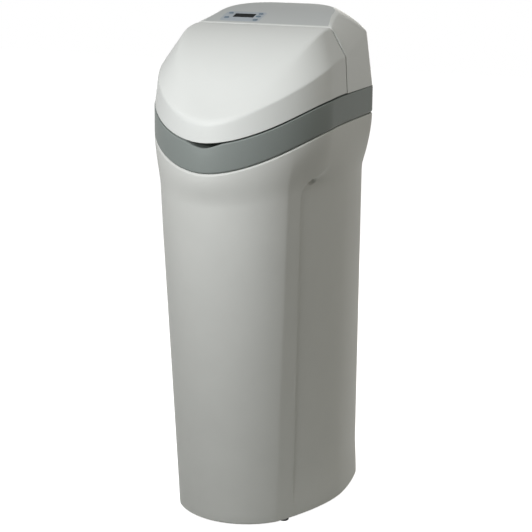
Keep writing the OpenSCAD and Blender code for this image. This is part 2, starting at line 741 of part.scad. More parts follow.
o_ring_r = 1.25;
o_ring_at = neck_r - 2;
trunk_r = neck_r - 2;
drum_z = neck_top + 25;
drum_top = neck_top + 108;
chamber_r = drum_r - 8;
chamber_z = drum_top - 32;
port_z = neck_top + 86;
port_end = rear_y - 33;
port_bore = 14.3;
venturi_at = [-80, -22];
venturi_r = 17;
venturi_z = neck_top + 44;
drain_at = [74, -12];
drain_z = neck_top + 52;
module tank_o_ring() {
    color(black)
    at_tank()
        translate([0, 0, neck_top + o_ring_r])
            rotate_extrude()
                translate([o_ring_at, 0])
                    circle(r = o_ring_r - fit, $fn = 24);
}
module port_shape(r) {
    rotate([-90, 0, 0])
        cylinder(r = r, h = port_end - tank_y);
}
module valve_body() {
    color(valve_black)
    at_tank()
    difference() {
        union() {
            translate([0, 0, spigot_z])
                cylinder(r = neck_bore - seat, h = neck_top - spigot_z);
            translate([0, 0, neck_top])
                cylinder(r = flange_r, h = flange_t);
            translate([0, 0, neck_top + flange_t])
                cylinder(r = trunk_r, h = drum_z - neck_top - flange_t + 1);
            translate([0, 0, drum_z])
                cylinder(r = drum_r, h = drum_top - drum_z);
            for (s = [-1, 1]) {
                translate([s * port_x, 0, port_z])
                    port_shape(port_r);
                translate([s * port_x, port_end - tank_y - 4, port_z])
                    rotate([-90, 0, 0])
                        cylinder(r = port_r + 2, h = 4);
                translate([s * port_x, 0, port_z])
                    sphere(r = port_r);
            }
            translate([0, venturi_at[1], venturi_z + 12])
                rotate([0, -90, 0])
                    cylinder(r = 9, h = -venturi_at[0] - venturi_r);
            translate([0, drain_at[1], drain_z])
                rotate([0, 90, 0])
                    cylinder(r = 11, h = drain_at[0] - 12);
        }
        translate([0, 0, spigot_z - 1])
            cylinder(r = riser_r + fit, h = riser_top - spigot_z + 1);
        translate([0, 0, riser_top - 1])
            cylinder(r = 10, h = chamber_z - riser_top + 2);
        translate([0, 0, chamber_z])
            cylinder(r = chamber_r, h = far);
        translate([0, 0, neck_top])
            rotate_extrude()
                translate([o_ring_at - o_ring_r, -1])
                    square([2 * o_ring_r, 2 * o_ring_r + 1]);
        for (s = [-1, 1])
            translate([s * port_x, 10, port_z])
                port_shape(port_bore);
        translate([0, venturi_at[1], venturi_z + 12])
            rotate([0, -90, 0])
                cylinder(r = 4, h = far);
        translate([0, drain_at[1], drain_z])
            rotate([0, 90, 0])
                cylinder(r = 6, h = far);
        valve_screw_holes(drum_top - 12, 1.9);
    }
}
valve_screws = 8;
valve_screw_at = drum_r - 4;
module valve_screw_holes(z, r) {
    for (i = [0:valve_screws - 1])
        rotate([0, 0, 360 * (i + 0.5) / valve_screws])
            translate([valve_screw_at, 0, z])
                cylinder(r = r, h = 60, $fn = 24);
}
module neck_clamps() {
    lip = 6;
    color(valve_black)
    at_tank()
    for (a = [0, 180])
        rotate([0, 0, a + 2])
            rotate_extrude(angle = 176)
                translate([0, neck_top])
                    polygon([[neck_r + seat, -flange_t - lip], [flange_r + 8, -flange_t - lip],
                        [flange_r + 8, -5], [flange_r + 6, -5], [flange_r + 6, 5],
                        [flange_r + 8, 5], [flange_r + 8, flange_t + lip],
                        [trunk_r + seat, flange_t + lip], [trunk_r + seat, flange_t + seat],
                        [flange_r + seat, flange_t + seat], [flange_r + seat, -flange_t - seat],
                        [neck_r + seat, -flange_t - seat]]);
}
module clamp_retainer() {
    color(steel)
    at_tank()
        translate([0, 0, neck_top - 4.5])
            difference() {
                cylinder(r = flange_r + 8, h = 9);
                translate([0, 0, -1])
                    cylinder(r = flange_r + 6 + seat, h = 11);
            }
}

// Rotor and disc in the drum, turned by the gear on its shaft

seal_t = 2;
disc_t = 12;
disc_z = chamber_z + seal_t + seat;
shaft_r = 8;
washer_t = 3;
washer_r = 18;
cover_t = 10;
cover_spigot = drum_top - (disc_z + disc_t + seat + washer_t + seat);
valve_cover_r = drum_r + 6;
gear_z = drum_top + cover_t + 4;
gear_t = 8;
cam_t = 6;
cam_r = 18;
pitch_r = gear_teeth * gear_module / 2;
pinion_pitch = pinion_teeth * gear_module / 2;
pinion_x = pitch_r + pinion_pitch;
module rotor_seal() {
    color(black)
    at_tank()
        translate([0, 0, chamber_z])
            difference() {
                cylinder(r = chamber_r - seat, h = seal_t);
                for (a = [0:60:300])
                    rotate([0, 0, a])
                        translate([chamber_r * 0.55, 0, -1])
                            cylinder(r = 7, h = seal_t + 2);
                translate([0, 0, -1])
                    cylinder(r = 10, h = seal_t + 2);
            }
}
module rotor_disc() {
    color(brine_white)
    at_tank()
    difference() {
        union() {
            translate([0, 0, disc_z])
                cylinder(r = chamber_r - run, h = disc_t);
            translate([0, 0, disc_z])
                cylinder(r = shaft_r, h = gear_z + gear_t - disc_z);
        }
        for (a = [0, 120, 240])
            rotate([0, 0, a])
                translate([chamber_r * 0.55, 0, disc_z - 1])
                    cylinder(r = 6, h = disc_t + 2);
    }
}
module wave_washer() {
    color(steel)
    at_tank()
        translate([0, 0, disc_z + disc_t + seat])
            difference() {
                cylinder(r = washer_r, h = washer_t);
                translate([0, 0, -1])
                    cylinder(r = shaft_r + 2, h = washer_t + 2);
            }
}
cover_hole_l = 20;
cover_hole_r = 2.3;
module valve_cover() {
    color(valve_black)
    at_tank()
    difference() {
        union() {
            translate([0, 0, drum_top])
                cylinder(r = valve_cover_r, h = cover_t);
            translate([0, 0, drum_top - cover_spigot])
                cylinder(r = chamber_r - seat, h = cover_spigot + 1);
        }
        translate([0, 0, drum_top - cover_spigot - 1])
            cylinder(r = shaft_r + fit, h = far);
        valve_screw_holes(drum_top - cover_hole_l, cover_hole_r);
    }
}
module valve_cover_screws() {
    color(steel)
    at_tank()
    for (i = [0:valve_screws - 1])
        rotate([0, 0, 360 * (i + 0.5) / valve_screws])
            translate([valve_screw_at, 0, 0]) {
                translate([0, 0, drum_top - 11])
                    cylinder(r = 1.8, h = cover_t + 11, $fn = 24);
                translate([0, 0, drum_top + cover_t])
                    cylinder(r = 4, h = 2.4, $fn = 24);
            }
}
// Gear outline: straight-flanked teeth with running backlash
function gear_points(teeth, backlash) =
    let (p = teeth * gear_module / 2, tip = p + 0.9 * gear_module, root = p - 1.15 * gear_module,
        step = 360 / teeth)
    [for (i = [0:teeth - 1]) for (c = [[root, -0.36], [tip, -0.13], [tip, 0.13], [root, 0.36]])
        let (a = (i + c[1] - sign(c[1]) * backlash) * step) [c[0] * cos(a), c[0] * sin(a)]];
module drive_gear() {
    color(brine_white)
    at_tank()
    difference() {
        union() {
            translate([0, 0, gear_z])
                linear_extrude(gear_t)
                    polygon(gear_points(gear_teeth, 0.03));
            translate([0, 0, gear_z + gear_t - 1])
                difference() {
                    cylinder(r = cam_r, h = cam_t + 1);
                    translate([cam_r - 4, -5, -1])
                        cube([10, 10, cam_t + 3]);
                }
        }
        translate([0, 0, gear_z - 1])
            cylinder(r = shaft_r, h = gear_t + 1);
        for (a = [30:60:330])
            rotate([0, 0, a])
                translate([pitch_r * 0.66, 0, gear_z - 1])
                    cylinder(r = 6, h = gear_t + 2);
    }
}
plate_z = gear_z + gear_t + 10;
plate_t = 3;
post_r = 4.5;
post_at = valve_cover_r - post_r;
post_angles = [80, 180, 280];
module motor_plate() {
    color(steel)
    at_tank()
    difference() {
        union() {
            translate([0, 0, plate_z])
                linear_extrude(plate_t) {
                    circle(r = pitch_r * 0.72);
                    translate([pinion_x, 0])
                        circle(r = motor_r + 3);
                    for (a = post_angles)
                        rotate(a)
                            translate([0, -post_r - 1.5])
                                square([post_at + post_r, 2 * post_r + 3]);
                }
            for (a = post_angles)
                rotate([0, 0, a])
                    translate([post_at, 0, drum_top + cover_t])
                        cylinder(r = post_r, h = plate_z - drum_top - cover_t + 1);
        }
        translate([pinion_x, 0, plate_z - 1])
            cylinder(r = 5, h = plate_t + 2);
        for (a = post_angles)
            rotate([0, 0, a])
                translate([post_at, 0, plate_z - 8])
                    cylinder(r = 1.6, h = 20, $fn = 24);
        for (s = [-1, 1])
            translate([pinion_x, s * (motor_r - 6), plate_z - 1])
                cylinder(r = 1.6, h = plate_t + 2, $fn = 24);
    }
}
module plate_screws() {
    color(steel)
    at_tank()
    for (a = post_angles)
        rotate([0, 0, a])
            translate([post_at, 0, plate_z + plate_t]) {
                cylinder(r = 3.5, h = 2.2, $fn = 24);
                translate([0, 0, -9])
                    cylinder(r = 1.55, h = 9, $fn = 24);
            }
}
motor_h = 26;
module drive_motor() {
    color(steel)
    at_tank()
        translate([pinion_x, 0, plate_z + plate_t])
            difference() {
                union() {
                    cylinder(r = motor_r, h = motor_h * 0.55);
                    cylinder(r = motor_r - 4, h = motor_h);
                    translate([0, 0, -plate_t - 14])
                        cylinder(r = 2.5, h = 16);
                }
                for (s = [-1, 1])
                    translate([0, s * (motor_r - 6), -1])
                        cylinder(r = 1.6, h = 8, $fn = 24);
            }
}
module motor_screws() {
    color(steel)
    at_tank()
    for (s = [-1, 1])
        translate([pinion_x, s * (motor_r - 6), plate_z - 2]) {
            cylinder(r = 3, h = 2, $fn = 24);
            cylinder(r = 1.55, h = plate_t + 7, $fn = 24);
        }
}
module motor_pinion() {
    color(brine_white)
    at_tank()
        translate([pinion_x, 0, gear_z])
            difference() {
                linear_extrude(gear_t)
                    rotate(pinion_teeth % 2 == 0 ? 180 / pinion_teeth : 0)
                        polygon(gear_points(pinion_teeth, 0.03));
                translate([0, 0, -1])
                    cylinder(r = 2.5 + fit, h = gear_t + 2);
            }
}
module position_switch() {
    color(black)
    at_tank()
        translate([-cam_r - run - 23.2, -7, gear_z + gear_t + 1]) {
            cube([22, 14, plate_z - gear_z - gear_t - 1]);
            translate([22, 4, 2])
                cube([1.2, 6, 3]);
        }
}

// Venturi on the left of the drum, drain elbow on its right

module at_venturi() {
    translate([venturi_at[0], tank_y + venturi_at[1], venturi_z])
        children();
}
venturi_h = 26;
tube_nut_h = 14;
module venturi_housing() {
    color(valve_black)
    at_venturi()
    difference() {
        union() {
            cylinder(r = venturi_r, h = venturi_h);
            translate([0, 0, -tube_nut_h])
                cylinder(r = tube_r + 3.5, h = tube_nut_h + 1);
        }
        translate([0, 0, 6])
            cylinder(r = venturi_r - 3, h = venturi_h);
        translate([0, 0, -tube_nut_h - 1])
            cylinder(r = tube_r + fit, h = tube_nut_h - 1);
        translate([0, 0, -3])
            cylinder(r = tube_r - 1.5, h = 12);
        translate([0, 0, 12])
            rotate([0, 90, 0])
                cylinder(r = 4, h = 40);
    }
}
module nozzle_venturi() {
    color(brine_white)
    at_venturi()
        translate([0, 0, 6])
            difference() {
                union() {
                    cylinder(r = venturi_r - 3 - seat, h = 3);
                    cylinder(r = 6, h = venturi_h - 12);
                }
                translate([0, 0, -1])
                    cylinder(r = 2, h = venturi_h);
            }
}
module venturi_gasket() {
    color(black)
    at_venturi()
        translate([0, 0, 9])
            difference() {
                cylinder(r = venturi_r - 3 - seat, h = 2);
                translate([0, 0, -1])
                    cylinder(r = 6 + fit, h = 4);
            }
}
module venturi_cap() {
    color(valve_black)
    at_venturi()
        translate([0, 0, venturi_h])
            difference() {
                union() {
                    cylinder(r = venturi_r + 2, h = 8);
                    translate([0, 0, -5])
                        cylinder(r = venturi_r - 3 - seat, h = 6);
                }
                for (i = [0:11])
                    rotate([0, 0, 30 * i])
                        translate([venturi_r + 2, 0, -1])
                            cylinder(r = 1.6, h = 10, $fn = 16);
            }
}
module drain_elbow() {
    reach = 58;
    color(valve_black)
    translate([drain_at[0] - 12, tank_y + drain_at[1], drain_z])
        difference() {
            union() {
                rotate([0, 90, 0])
                    cylinder(r = 10, h = 12);
                translate([12, 0, 0])
                    sphere(r = 10);
                translate([12, 0, 0])
                    rotate([-90, 0, 0])
                        cylinder(r = 7, h = reach);
                for (i = [0:3])
                    translate([12, reach - 24 + 6 * i, 0])
                        rotate([-90, 0, 0])
                            cylinder(r1 = 8.4, r2 = 7, h = 5);
            }
            translate([-1, 0, 0])
                rotate([0, 90, 0])
                    cylinder(r = 4.5, h = 13);
            translate([12, 0, 0])
                rotate([-90, 0, 0])
                    cylinder(r = 4.5, h = reach + 1);
        }
}

// Turbine in the outlet port, adaptors and clips at both ports

module at_port(s) {
    translate([s * port_x, port_end, port_z])
        rotate([-90, 0, 0])
            children();
}
turbine_r = 12.5;
spigot_l = 16;
module turbine_support() {
    color(brine_white)
    at_port(1)
        translate([0, 0, -spigot_l - 24]) {
            difference() {
                cylinder(r = port_bore - fit, h = 3);
                for (a = [0:90:270])
                    rotate([0, 0, a + 45])
                        translate([8.2, 0, -1])
                            cylinder(r = 3.4, h = 5);
            }
            cylinder(r = 1.5, h = 21);
        }
}
module turbine_wheel() {
    color("#4b6fa0")
    at_port(1)
        translate([0, 0, -spigot_l - 24 + 3 + seat])
            difference() {
                union() {
                    cylinder(r = 4, h = 14);
                    for (a = [0:60:300])
                        rotate([0, 0, a])
                            translate([2, -0.8, 1])
                                cube([turbine_r - 2, 1.6, 12]);
                }
                translate([0, 0, -1])
                    cylinder(r = 1.5 + fit, h = 16);
            }
}
module adaptor(s) {
    collar = port_r + 2;
    color(panel_grey)
    at_port(s)
    difference() {
        union() {
            translate([0, 0, -spigot_l])
                cylinder(r = port_bore - fit, h = spigot_l + 1);
            cylinder(r = collar, h = 4);
            cylinder(r = port_r - 1, h = 7);
            cylinder(r = nipple_r, h = rear_y - 1 - port_end);
        }
        translate([0, 0, -spigot_l - 1])
            cylinder(r = 11, h = far);
        translate([0, 0, -8])
            rotate_extrude()
                translate([port_bore - 2.4, 0])
                    square([4, 3]);
    }
}
module inlet_adaptor() adaptor(-1);
module outlet_adaptor() adaptor(1);
module adaptor_clips() {
    inner = port_r + 2 + seat;
    color(steel)
    for (s = [-1, 1])
        at_port(s)
            rotate([0, 0, 145])
                rotate_extrude(angle = 250)
                    polygon([[port_r + seat, -6.5], [inner + 2, -6.5],
                        [inner + 2, 6.5], [port_r + seat - 1, 6.5],
                        [port_r + seat - 1, 4 + seat], [inner, 4 + seat],
                        [inner, -4 - seat], [port_r + seat, -4 - seat]]);
}
module adaptor_o_rings() {
    color(black)
    for (s = [-1, 1])
        at_port(s)
            translate([0, 0, -6.5])
                rotate_extrude()
                    translate([port_bore - 1.2, 0])
                        circle(r = 1.15, $fn = 24);
}

// Brine well beside the resin tank, with the brine valve and its float inside

well_x = -(rim_w / 2 - well_in);
well_gap = 14;
well_wall = 2.5;
well_y = tank_y - sqrt(pow(tank_r + well_r + well_gap, 2) - pow(well_x, 2));
well_top = floor_z + well_h;
valve_foot_r = 24;
valve_foot_h = 74;
tube_seat = 26;
web_h = valve_foot_h - tube_seat - 8;
stem_r = 2.5;
stem_z = floor_z + 30;
stem_over = 20;
float_z = floor_z + 290;
float_h = 45;
guide_z = floor_z + 420;
guide_t = 5;
socket_wall = 3;
tube_offset = well_r - well_wall - tube_r - socket_wall - seat;
toward = [-well_x, tank_y - well_y];
toward_l = sqrt(toward[0] * toward[0] + toward[1] * toward[1]);
tube_at = [well_x + tube_offset * toward[0] / toward_l, well_y + tube_offset * toward[1] / toward_l];
module at_well() {
    translate([well_x, well_y, 0])
        children();
}
module brinewell() {
    color(brine_white)
    at_well()
    difference() {
        translate([0, 0, floor_z])
            cylinder(r = well_r, h = well_h);
        translate([0, 0, floor_z - 1])
            cylinder(r = well_r - well_wall, h = far);
        for (k = [0:4])
            for (a = [0:60:120])
                rotate([0, 0, a])
                    translate([-well_r - 1, -2, floor_z + 25 + 26 * k])
                        cube([2 * well_r + 2, 4, 14]);
    }
}
module brinewell_cap() {
    color(brine_white)
    at_well()
    difference() {
        union() {
            translate([0, 0, well_top + seat])
                cylinder(r = well_r + 4, h = 3);
            translate([0, 0, well_top - 10])
                difference() {
                    cylinder(r = well_r + 4, h = 12);
                    translate([0, 0, -1])
                        cylinder(r = well_r + 0.6, h = 20);
                }
            translate([0, 0, well_top + seat + 3])
                cylinder(r = 10, h = 10);
        }
        translate([tube_at[0] - well_x, tube_at[1] - well_y, well_top - 20])
            cylinder(r = tube_r + 3, h = 40);
    }
}
module brine_valve() {
    color(valve_black)
    translate([0, 0, floor_z])
        difference() {
            union() {
                at_well()
                    cylinder(r = valve_foot_r, h = valve_foot_h);
                at_well()
                    cylinder(r = well_r - well_wall - seat, h = 8);
                translate([tube_at[0], tube_at[1], 0])
                    cylinder(r = tube_r + socket_wall, h = valve_foot_h - 10, $fn = 32);
                at_well()
                    rotate([0, 0, atan2(toward[1], toward[0])])
                        translate([0, -5, 0])
                            cube([tube_offset, 10, web_h]);
            }
            at_well()
                translate([0, 0, 12])
                    cylinder(r = stem_r + fit, h = far);
            translate([tube_at[0], tube_at[1], valve_foot_h - tube_seat])
                cylinder(r = tube_r + fit, h = far);
        }
}
module float_stem() {
    color(brine_white)
    at_well()
        translate([0, 0, stem_z])
            cylinder(r = stem_r, h = guide_z + guide_t + stem_over - stem_z);
}
module brine_float() {
    color("#c9ccd0")
    at_well()
        difference() {
            translate([0, 0, float_z])
                rotate_extrude()
                    polygon([[0, 0], [float_r - 6, 0], [float_r, 6],
                        [float_r, float_h - 6], [float_r - 6, float_h], [0, float_h]]);
            translate([0, 0, float_z - 1])
                cylinder(r = stem_r, h = float_h + 2);
        }
}
module float_guide() {
    arm = 7;
    color(brine_white)
    at_well()
    translate([0, 0, guide_z])
        rotate([0, 0, atan2(toward[1], toward[0]) + 60])
            difference() {
                union() {
                    cylinder(r = 8, h = guide_t);
                    intersection() {
                        cylinder(r = well_r - well_wall - fit, h = guide_t);
                        for (a = [0, 120, 240])
                            rotate([0, 0, a])
                                translate([0, -arm / 2, 0])
                                    cube([well_r, arm, guide_t]);
                    }
                }
                translate([0, 0, -1])
                    cylinder(r = stem_r + fit, h = guide_t + 2);
            }
}

// Brine tube: straight up the well, then an easy double bend to the venturi
tube_start_z = floor_z + valve_foot_h - tube_seat;
tube_end_z = venturi_z - 3;
bend_lead = 15;
bend_h = 133;
bend_to = tube_end_z - bend_lead;
bend_from = bend_to - bend_h;
tube_goal = [venturi_at[0], tank_y + venturi_at[1]];
tube_sides = 10;
bend_steps = 10;
bend_run = [tube_goal[0] - tube_at[0], tube_goal[1] - tube_at[1]];
bend_l = sqrt(bend_run[0] * bend_run[0] + bend_run[1] * bend_run[1]);
function tube_ring(share, z, lean) = [for (i = [0:tube_sides - 1])
    let (t = -360 * i / tube_sides, out = tube_r * cos(t), along = tube_r * sin(t) * cos(lean),
        e = bend_run / bend_l)
    [tube_at[0] + bend_run[0] * share + e[0] * along - e[1] * out,
        tube_at[1] + bend_run[1] * share + e[1] * along + e[0] * out, z - tube_r * sin(t) * sin(lean)]];
function bend_lean(u) = atan(6 * u * (1 - u) * bend_l / (bend_to - bend_from));
module brine_tube() {
    color("#d8d8cf")
    loft(concat([tube_ring(0, tube_start_z, 0)],
        [for (i = [0:bend_steps]) let (u = i / bend_steps)
            tube_ring(smooth(u), mix(bend_from, bend_to, u), bend_lean(u))],
        [tube_ring(1, tube_end_z, 0)]), false);
}

cabinet();
feet();
rim();
top_cover();
salt_lid();
lid_hinge_pins();
faceplate();
display_window();
display_module();
control_board();
board_screws();
select_button();
set_button();
up_button();
down_button();
recharge_button();
resin_tank();
riser_tube();
bottom_distributor();
top_distributor();
tank_o_ring();
neck_clamps();
clamp_retainer();
valve_body();
rotor_seal();
rotor_disc();
wave_washer();
valve_cover();
valve_cover_screws();
drive_gear();
motor_plate();
plate_screws();
drive_motor();
motor_screws();
motor_pinion();
position_switch();
venturi_housing();
nozzle_venturi();
venturi_gasket();
venturi_cap();
drain_elbow();
turbine_support();
turbine_wheel();
inlet_adaptor();
outlet_adaptor();
adaptor_clips();
adaptor_o_rings();
brine_tube();
brinewell();
brinewell_cap();
brine_valve();
float_stem();
brine_float();
float_guide();
overflow_grommet();
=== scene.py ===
"""Looks of a cabinet water softener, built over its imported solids: smooth shells, panel, keys and stage."""

import math

import bmesh
import bpy
import numpy as np
from bpy.props import FloatProperty, FloatVectorProperty, PointerProperty
from mathutils import Matrix, Vector


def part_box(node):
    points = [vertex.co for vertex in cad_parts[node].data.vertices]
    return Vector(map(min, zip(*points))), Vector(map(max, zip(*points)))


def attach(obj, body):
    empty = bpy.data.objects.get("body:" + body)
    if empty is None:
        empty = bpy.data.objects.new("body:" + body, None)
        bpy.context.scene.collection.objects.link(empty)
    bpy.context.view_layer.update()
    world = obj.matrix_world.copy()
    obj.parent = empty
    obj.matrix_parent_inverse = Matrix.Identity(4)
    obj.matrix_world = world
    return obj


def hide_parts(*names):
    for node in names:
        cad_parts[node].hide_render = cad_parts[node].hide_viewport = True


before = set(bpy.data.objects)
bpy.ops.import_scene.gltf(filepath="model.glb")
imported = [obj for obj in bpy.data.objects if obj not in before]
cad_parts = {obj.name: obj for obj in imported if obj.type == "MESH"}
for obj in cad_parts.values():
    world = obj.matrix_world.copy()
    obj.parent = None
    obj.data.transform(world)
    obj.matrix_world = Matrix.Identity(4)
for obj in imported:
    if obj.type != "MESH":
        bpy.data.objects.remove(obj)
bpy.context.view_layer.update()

bl_info = {
    "name": "Cabinet water softener",
    "version": (1, 0, 0),
    "blender": (4, 5, 0),
    "location": "3D View > Sidebar > Softener",
    "description": "Dresses the packed solids of a cabinet water softener",
    "category": "Object",
}

MM = 0.001
RIM_LOW, RIM_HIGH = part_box("rim")
TANK_LOW, TANK_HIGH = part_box("resin_tank")


# Colour and node helpers


def linear(code):
    """Turns an sRGB hex colour into linear RGB."""
    shares = [int(code[i:i + 2], 16) / 255 for i in (1, 3, 5)]
    return [c / 12.92 if c <= 0.04045 else ((c + 0.055) / 1.055) ** 2.4 for c in shares]


def rgba(colour):
    """Gives a colour, hex or linear, as linear RGBA."""
    values = linear(colour) if isinstance(colour, str) else list(colour)
    return (*values, 1.0)


def add(tree, kind, inputs=None, **settings):
    """Adds a node with its settings; each input takes a value or a link."""
    node = tree.nodes.new(kind)
    for name, value in settings.items():
        setattr(node, name, value)
    for key, value in (inputs or {}).items():
        if isinstance(value, bpy.types.NodeSocket):
            tree.links.new(value, node.inputs[key])
        else:
            node.inputs[key].default_value = value
    return node


def maths(tree, operation, *values):
    """Result of a math node."""
    return add(tree, "ShaderNodeMath", dict(enumerate(values)), operation=operation).outputs[0]


def vector(tree, operation, *values):
    """Node of vector math."""
    return add(tree, "ShaderNodeVectorMath", dict(enumerate(values)), operation=operation)


def noise(tree, place, scale, detail, **more):
    """Value of a noise texture."""
    inputs = {"Vector": place, "Scale": scale, "Detail": detail, **more}
    return add(tree, "ShaderNodeTexNoise", inputs).outputs["Fac"]


def tone(tree, factor, first, second):
    """Colour between two others."""
    inputs = {"Factor": factor, "A": rgba(first), "B": rgba(second)}
    return add(tree, "ShaderNodeMix", inputs, data_type="RGBA").outputs["Result"]


def ranged(tree, value, low, high):
    """Value from 0 to 1 laid on a range."""
    return add(tree, "ShaderNodeMapRange", {"Value": value, "To Min": low, "To Max": high}).outputs["Result"]


def relief(tree, height, strength, distance, **more):
    """Normal of a bump."""
    inputs = {"Height": height, "Strength": strength, "Distance": distance, **more}
    return add(tree, "ShaderNodeBump", inputs).outputs["Normal"]


def start_material(name):
    """Makes an empty material and returns it with its tree and Object coordinates."""
    material = bpy.data.materials.new(name)
    material.use_nodes = True
    tree = material.node_tree
    tree.nodes.clear()
    place = add(tree, "ShaderNodeTexCoord").outputs["Object"]
    return material, tree, place


def end_material(material, inputs):
    """Ends a material in one principled shader."""
    tree = material.node_tree
    shader = add(tree, "ShaderNodeBsdfPrincipled", inputs)
    add(tree, "ShaderNodeOutputMaterial", {"Surface": shader.outputs[0]})
    return material


# Shape of the shells, in millimetres


def mix(a, b, u):
    return a + (b - a) * u


def smooth(u):
    t = np.clip(u, 0, 1)
    return t * t * (3 - 2 * t)


class Plan:
    """Outlines and heights that the cabinet, rim, lid and cover share, in millimetres."""

    bow_n = 1.82
    rear_draw = 2
    level_y = -80
    rim_fall = 1.34
    rim_soft = 80
    rear_grow = 2
    top_inset = 28
    # What the lid and the cover share: insets of crease and top, and the crease's drop at the seam
    crease_in = 7.5
    top_in = 46
    crease_drop = 65

    def __init__(self, sizes):
        self.half_w = sizes.rim_width / MM / 2
        self.rear_y = sizes.rim_depth / MM / 2
        self.front_y = -self.rear_y
        self.rim_h = sizes.rim_height / MM
        self.rim_rear_z = sizes.rim_rear_z / MM
        self.rim_drop = sizes.rim_drop / MM
        self.bow_depth = sizes.bow_depth / MM
        self.bow_cy = self.front_y + self.bow_depth
        self.rear_r = sizes.corner_radius / MM + self.rear_grow
        self.turn_y = self.rear_y - self.rear_r
        self.seam_y = sizes.seam_y / MM
        self.seam_z = sizes.seam_z / MM
        self.rim_top_z = self.rim_rear_z + self.rim_h
        self.slope = sizes.panel_slope
        self.crown = sizes.panel_crown / MM
        self.top_rear_y = self.rear_y - self.top_inset
        self.panel_len = (self.top_rear_y - self.seam_y) / math.cos(self.slope)
        self.crown_r = (self.panel_len ** 2 / 4 + self.crown ** 2) / (2 * self.crown)

    def past_level(self, y):
        """How far a place lies in front of the rim's level part, eased in."""
        t = self.level_y - y
        return (t + np.sqrt(t * t + self.rim_soft ** 2)) / 2

    def rim_lo(self, y):
        share = self.past_level(y) / self.past_level(self.front_y)
        return self.rim_rear_z - self.rim_drop * share ** self.rim_fall

    def rim_up(self, y):
        return self.rim_lo(y) + self.rim_h

    def bow_y(self, x, inset):
        share = np.clip(x / (self.half_w - inset), 0, 1)
        return self.bow_cy - (self.bow_depth - inset) * (1 - share ** self.bow_n) ** (1 / self.bow_n)

    def rim_x(self, y, inset):
        y = np.minimum(y, self.turn_y)
        share = np.clip((self.bow_cy - y) / (self.bow_depth - inset), 0, 1)
        bow = (self.half_w - inset) * (1 - share ** self.bow_n) ** (1 / self.bow_n)
        run = np.clip((y - self.bow_cy) / (self.turn_y - self.bow_cy), 0, 1)
        return np.where(y < self.bow_cy, bow, self.half_w - inset - self.rear_draw * run)

    def panel_z(self, y):
        return self.seam_z + (y - self.seam_y) * math.tan(self.slope)

    def along(self, y):
        return (y - self.seam_y) / math.cos(self.slope)

    def bump(self, s):
        """Rise of the crowned panel over its straight slope."""
        return np.sqrt(self.crown_r ** 2 - (s - self.panel_len / 2) ** 2) - self.crown_r + self.crown


def columns(*parts):
    """Rows of coordinates from arrays and single numbers."""
    return np.column_stack(np.broadcast_arrays(*parts))


def raise_to(points, z):
    """Gives plan points a height, one number or one for each."""
    return np.column_stack([points, np.broadcast_to(z, len(points))])


def whole(half):
    """Closes a half outline by its mirror image; the ends lie on the middle plane."""
    back = half[-2:0:-1] * np.array([-1.0] + [1.0] * (half.shape[1] - 1))
    return np.vstack([half, back])


def mirrored(half):
    """An open arch of points from the left seam end round the front to the right one."""
    return np.vstack([half[:0:-1] * np.array([-1.0, 1.0, 1.0]), half])


def round_points(cx, cy, r, start, end, steps):
    """Points of an arc, angles in degrees."""
    t = np.radians(np.linspace(start, end, steps + 1))
    return columns(cx + r * np.cos(t), cy + r * np.sin(t))


def arc(cx, cy, r, start, end, steps):
    """Points of an arc after its first one, angles in degrees."""
    return round_points(cx, cy, r, start, end, steps)[1:]


def after(start, end, steps):
    """Even steps from start to end, without the start."""
    return np.linspace(start, end, steps + 1)[1:]


def span(a, b, steps):
    """Rings between two rings, without the ends."""
    return [mix(a, b, u) for u in after(0, 1, steps)[:-1]]


def bend(a, corner, b, steps):
    """Rings of a curve from a to b that the corner draws towards itself, with the ends."""
    shares = np.linspace(0, 1, steps + 1)
    return [(1 - u) ** 2 * a + 2 * u * (1 - u) * corner + u * u * b for u in shares]


def rounded(rings, reaches, closed, steps=7):
    """Rounds the named corner rings; a reach is how far the curve runs back along its sides."""
    made = []
    count = len(rings)
    for k, corner in enumerate(rings):
        reach = reaches.get(k)
        if reach is None or (not closed and k in (0, count - 1)):
            made.append(corner)
            continue
        ends = []
        for other in (rings[k - 1], rings[(k + 1) % count]):
            away = other - corner
            length = np.maximum(np.linalg.norm(away, axis=1), 1e-6)
            share = np.minimum(reach / length, 0.45)
            ends.append(corner + away * share[:, None])
        made.extend(bend(ends[0], corner, ends[1], steps))
    return made


class Skin:
    """Collects points and faces of one mesh, in millimetres."""

    def __init__(self):
        self.points = []
        self.faces = []
        self.marks = []

    def add(self, points):
        first = len(self.points)
        self.points.extend(map(tuple, points))
        return np.arange(first, len(self.points))

    def quads(self, row, other, closed=False, mark=0):
        count = len(row)
        for i in range(count if closed else count - 1):
            j = (i + 1) % count
            face = (int(row[i]), int(row[j]), int(other[j]), int(other[i]))
            if len(set(face)) > 2:
                self.faces.append(list(dict.fromkeys(face)))
                self.marks.append(mark)

    def lap(self, rings, closed_rings=True, closed_around=True, mark=0):
        """Quads through rings of equal count; returns the rows of indices."""
        rows = [self.add(r) for r in rings]
        for k in range(len(rows) - 1):
            self.quads(rows[k], rows[k + 1], closed_around, mark)
        if closed_rings:
            self.quads(rows[-1], rows[0], closed_around, mark)
        return rows

    def solid(self, rings, mark=0):
        """Quads through rings, and a face over the first and the last."""
        rows = self.lap(rings, closed_rings=False, mark=mark)
        for row in (rows[0], rows[-1]):
            self.faces.append([int(i) for i in row])
            self.marks.append(mark)

    def mesh(self, name):
        """The collected mesh in metres, merged, with its faces outwards."""
        data = bpy.data.meshes.new(name)
        data.from_pydata([Vector(p) * MM for p in self.points], [], self.faces)
        data.polygons.foreach_set("material_index", self.marks)
        work = bmesh.new()
        work.from_mesh(data)
        bmesh.ops.remove_doubles(work, verts=work.verts, dist=1e-6)
        bmesh.ops.recalc_face_normals(work, faces=work.faces)
        work.to_mesh(data)
        work.free()
        return data


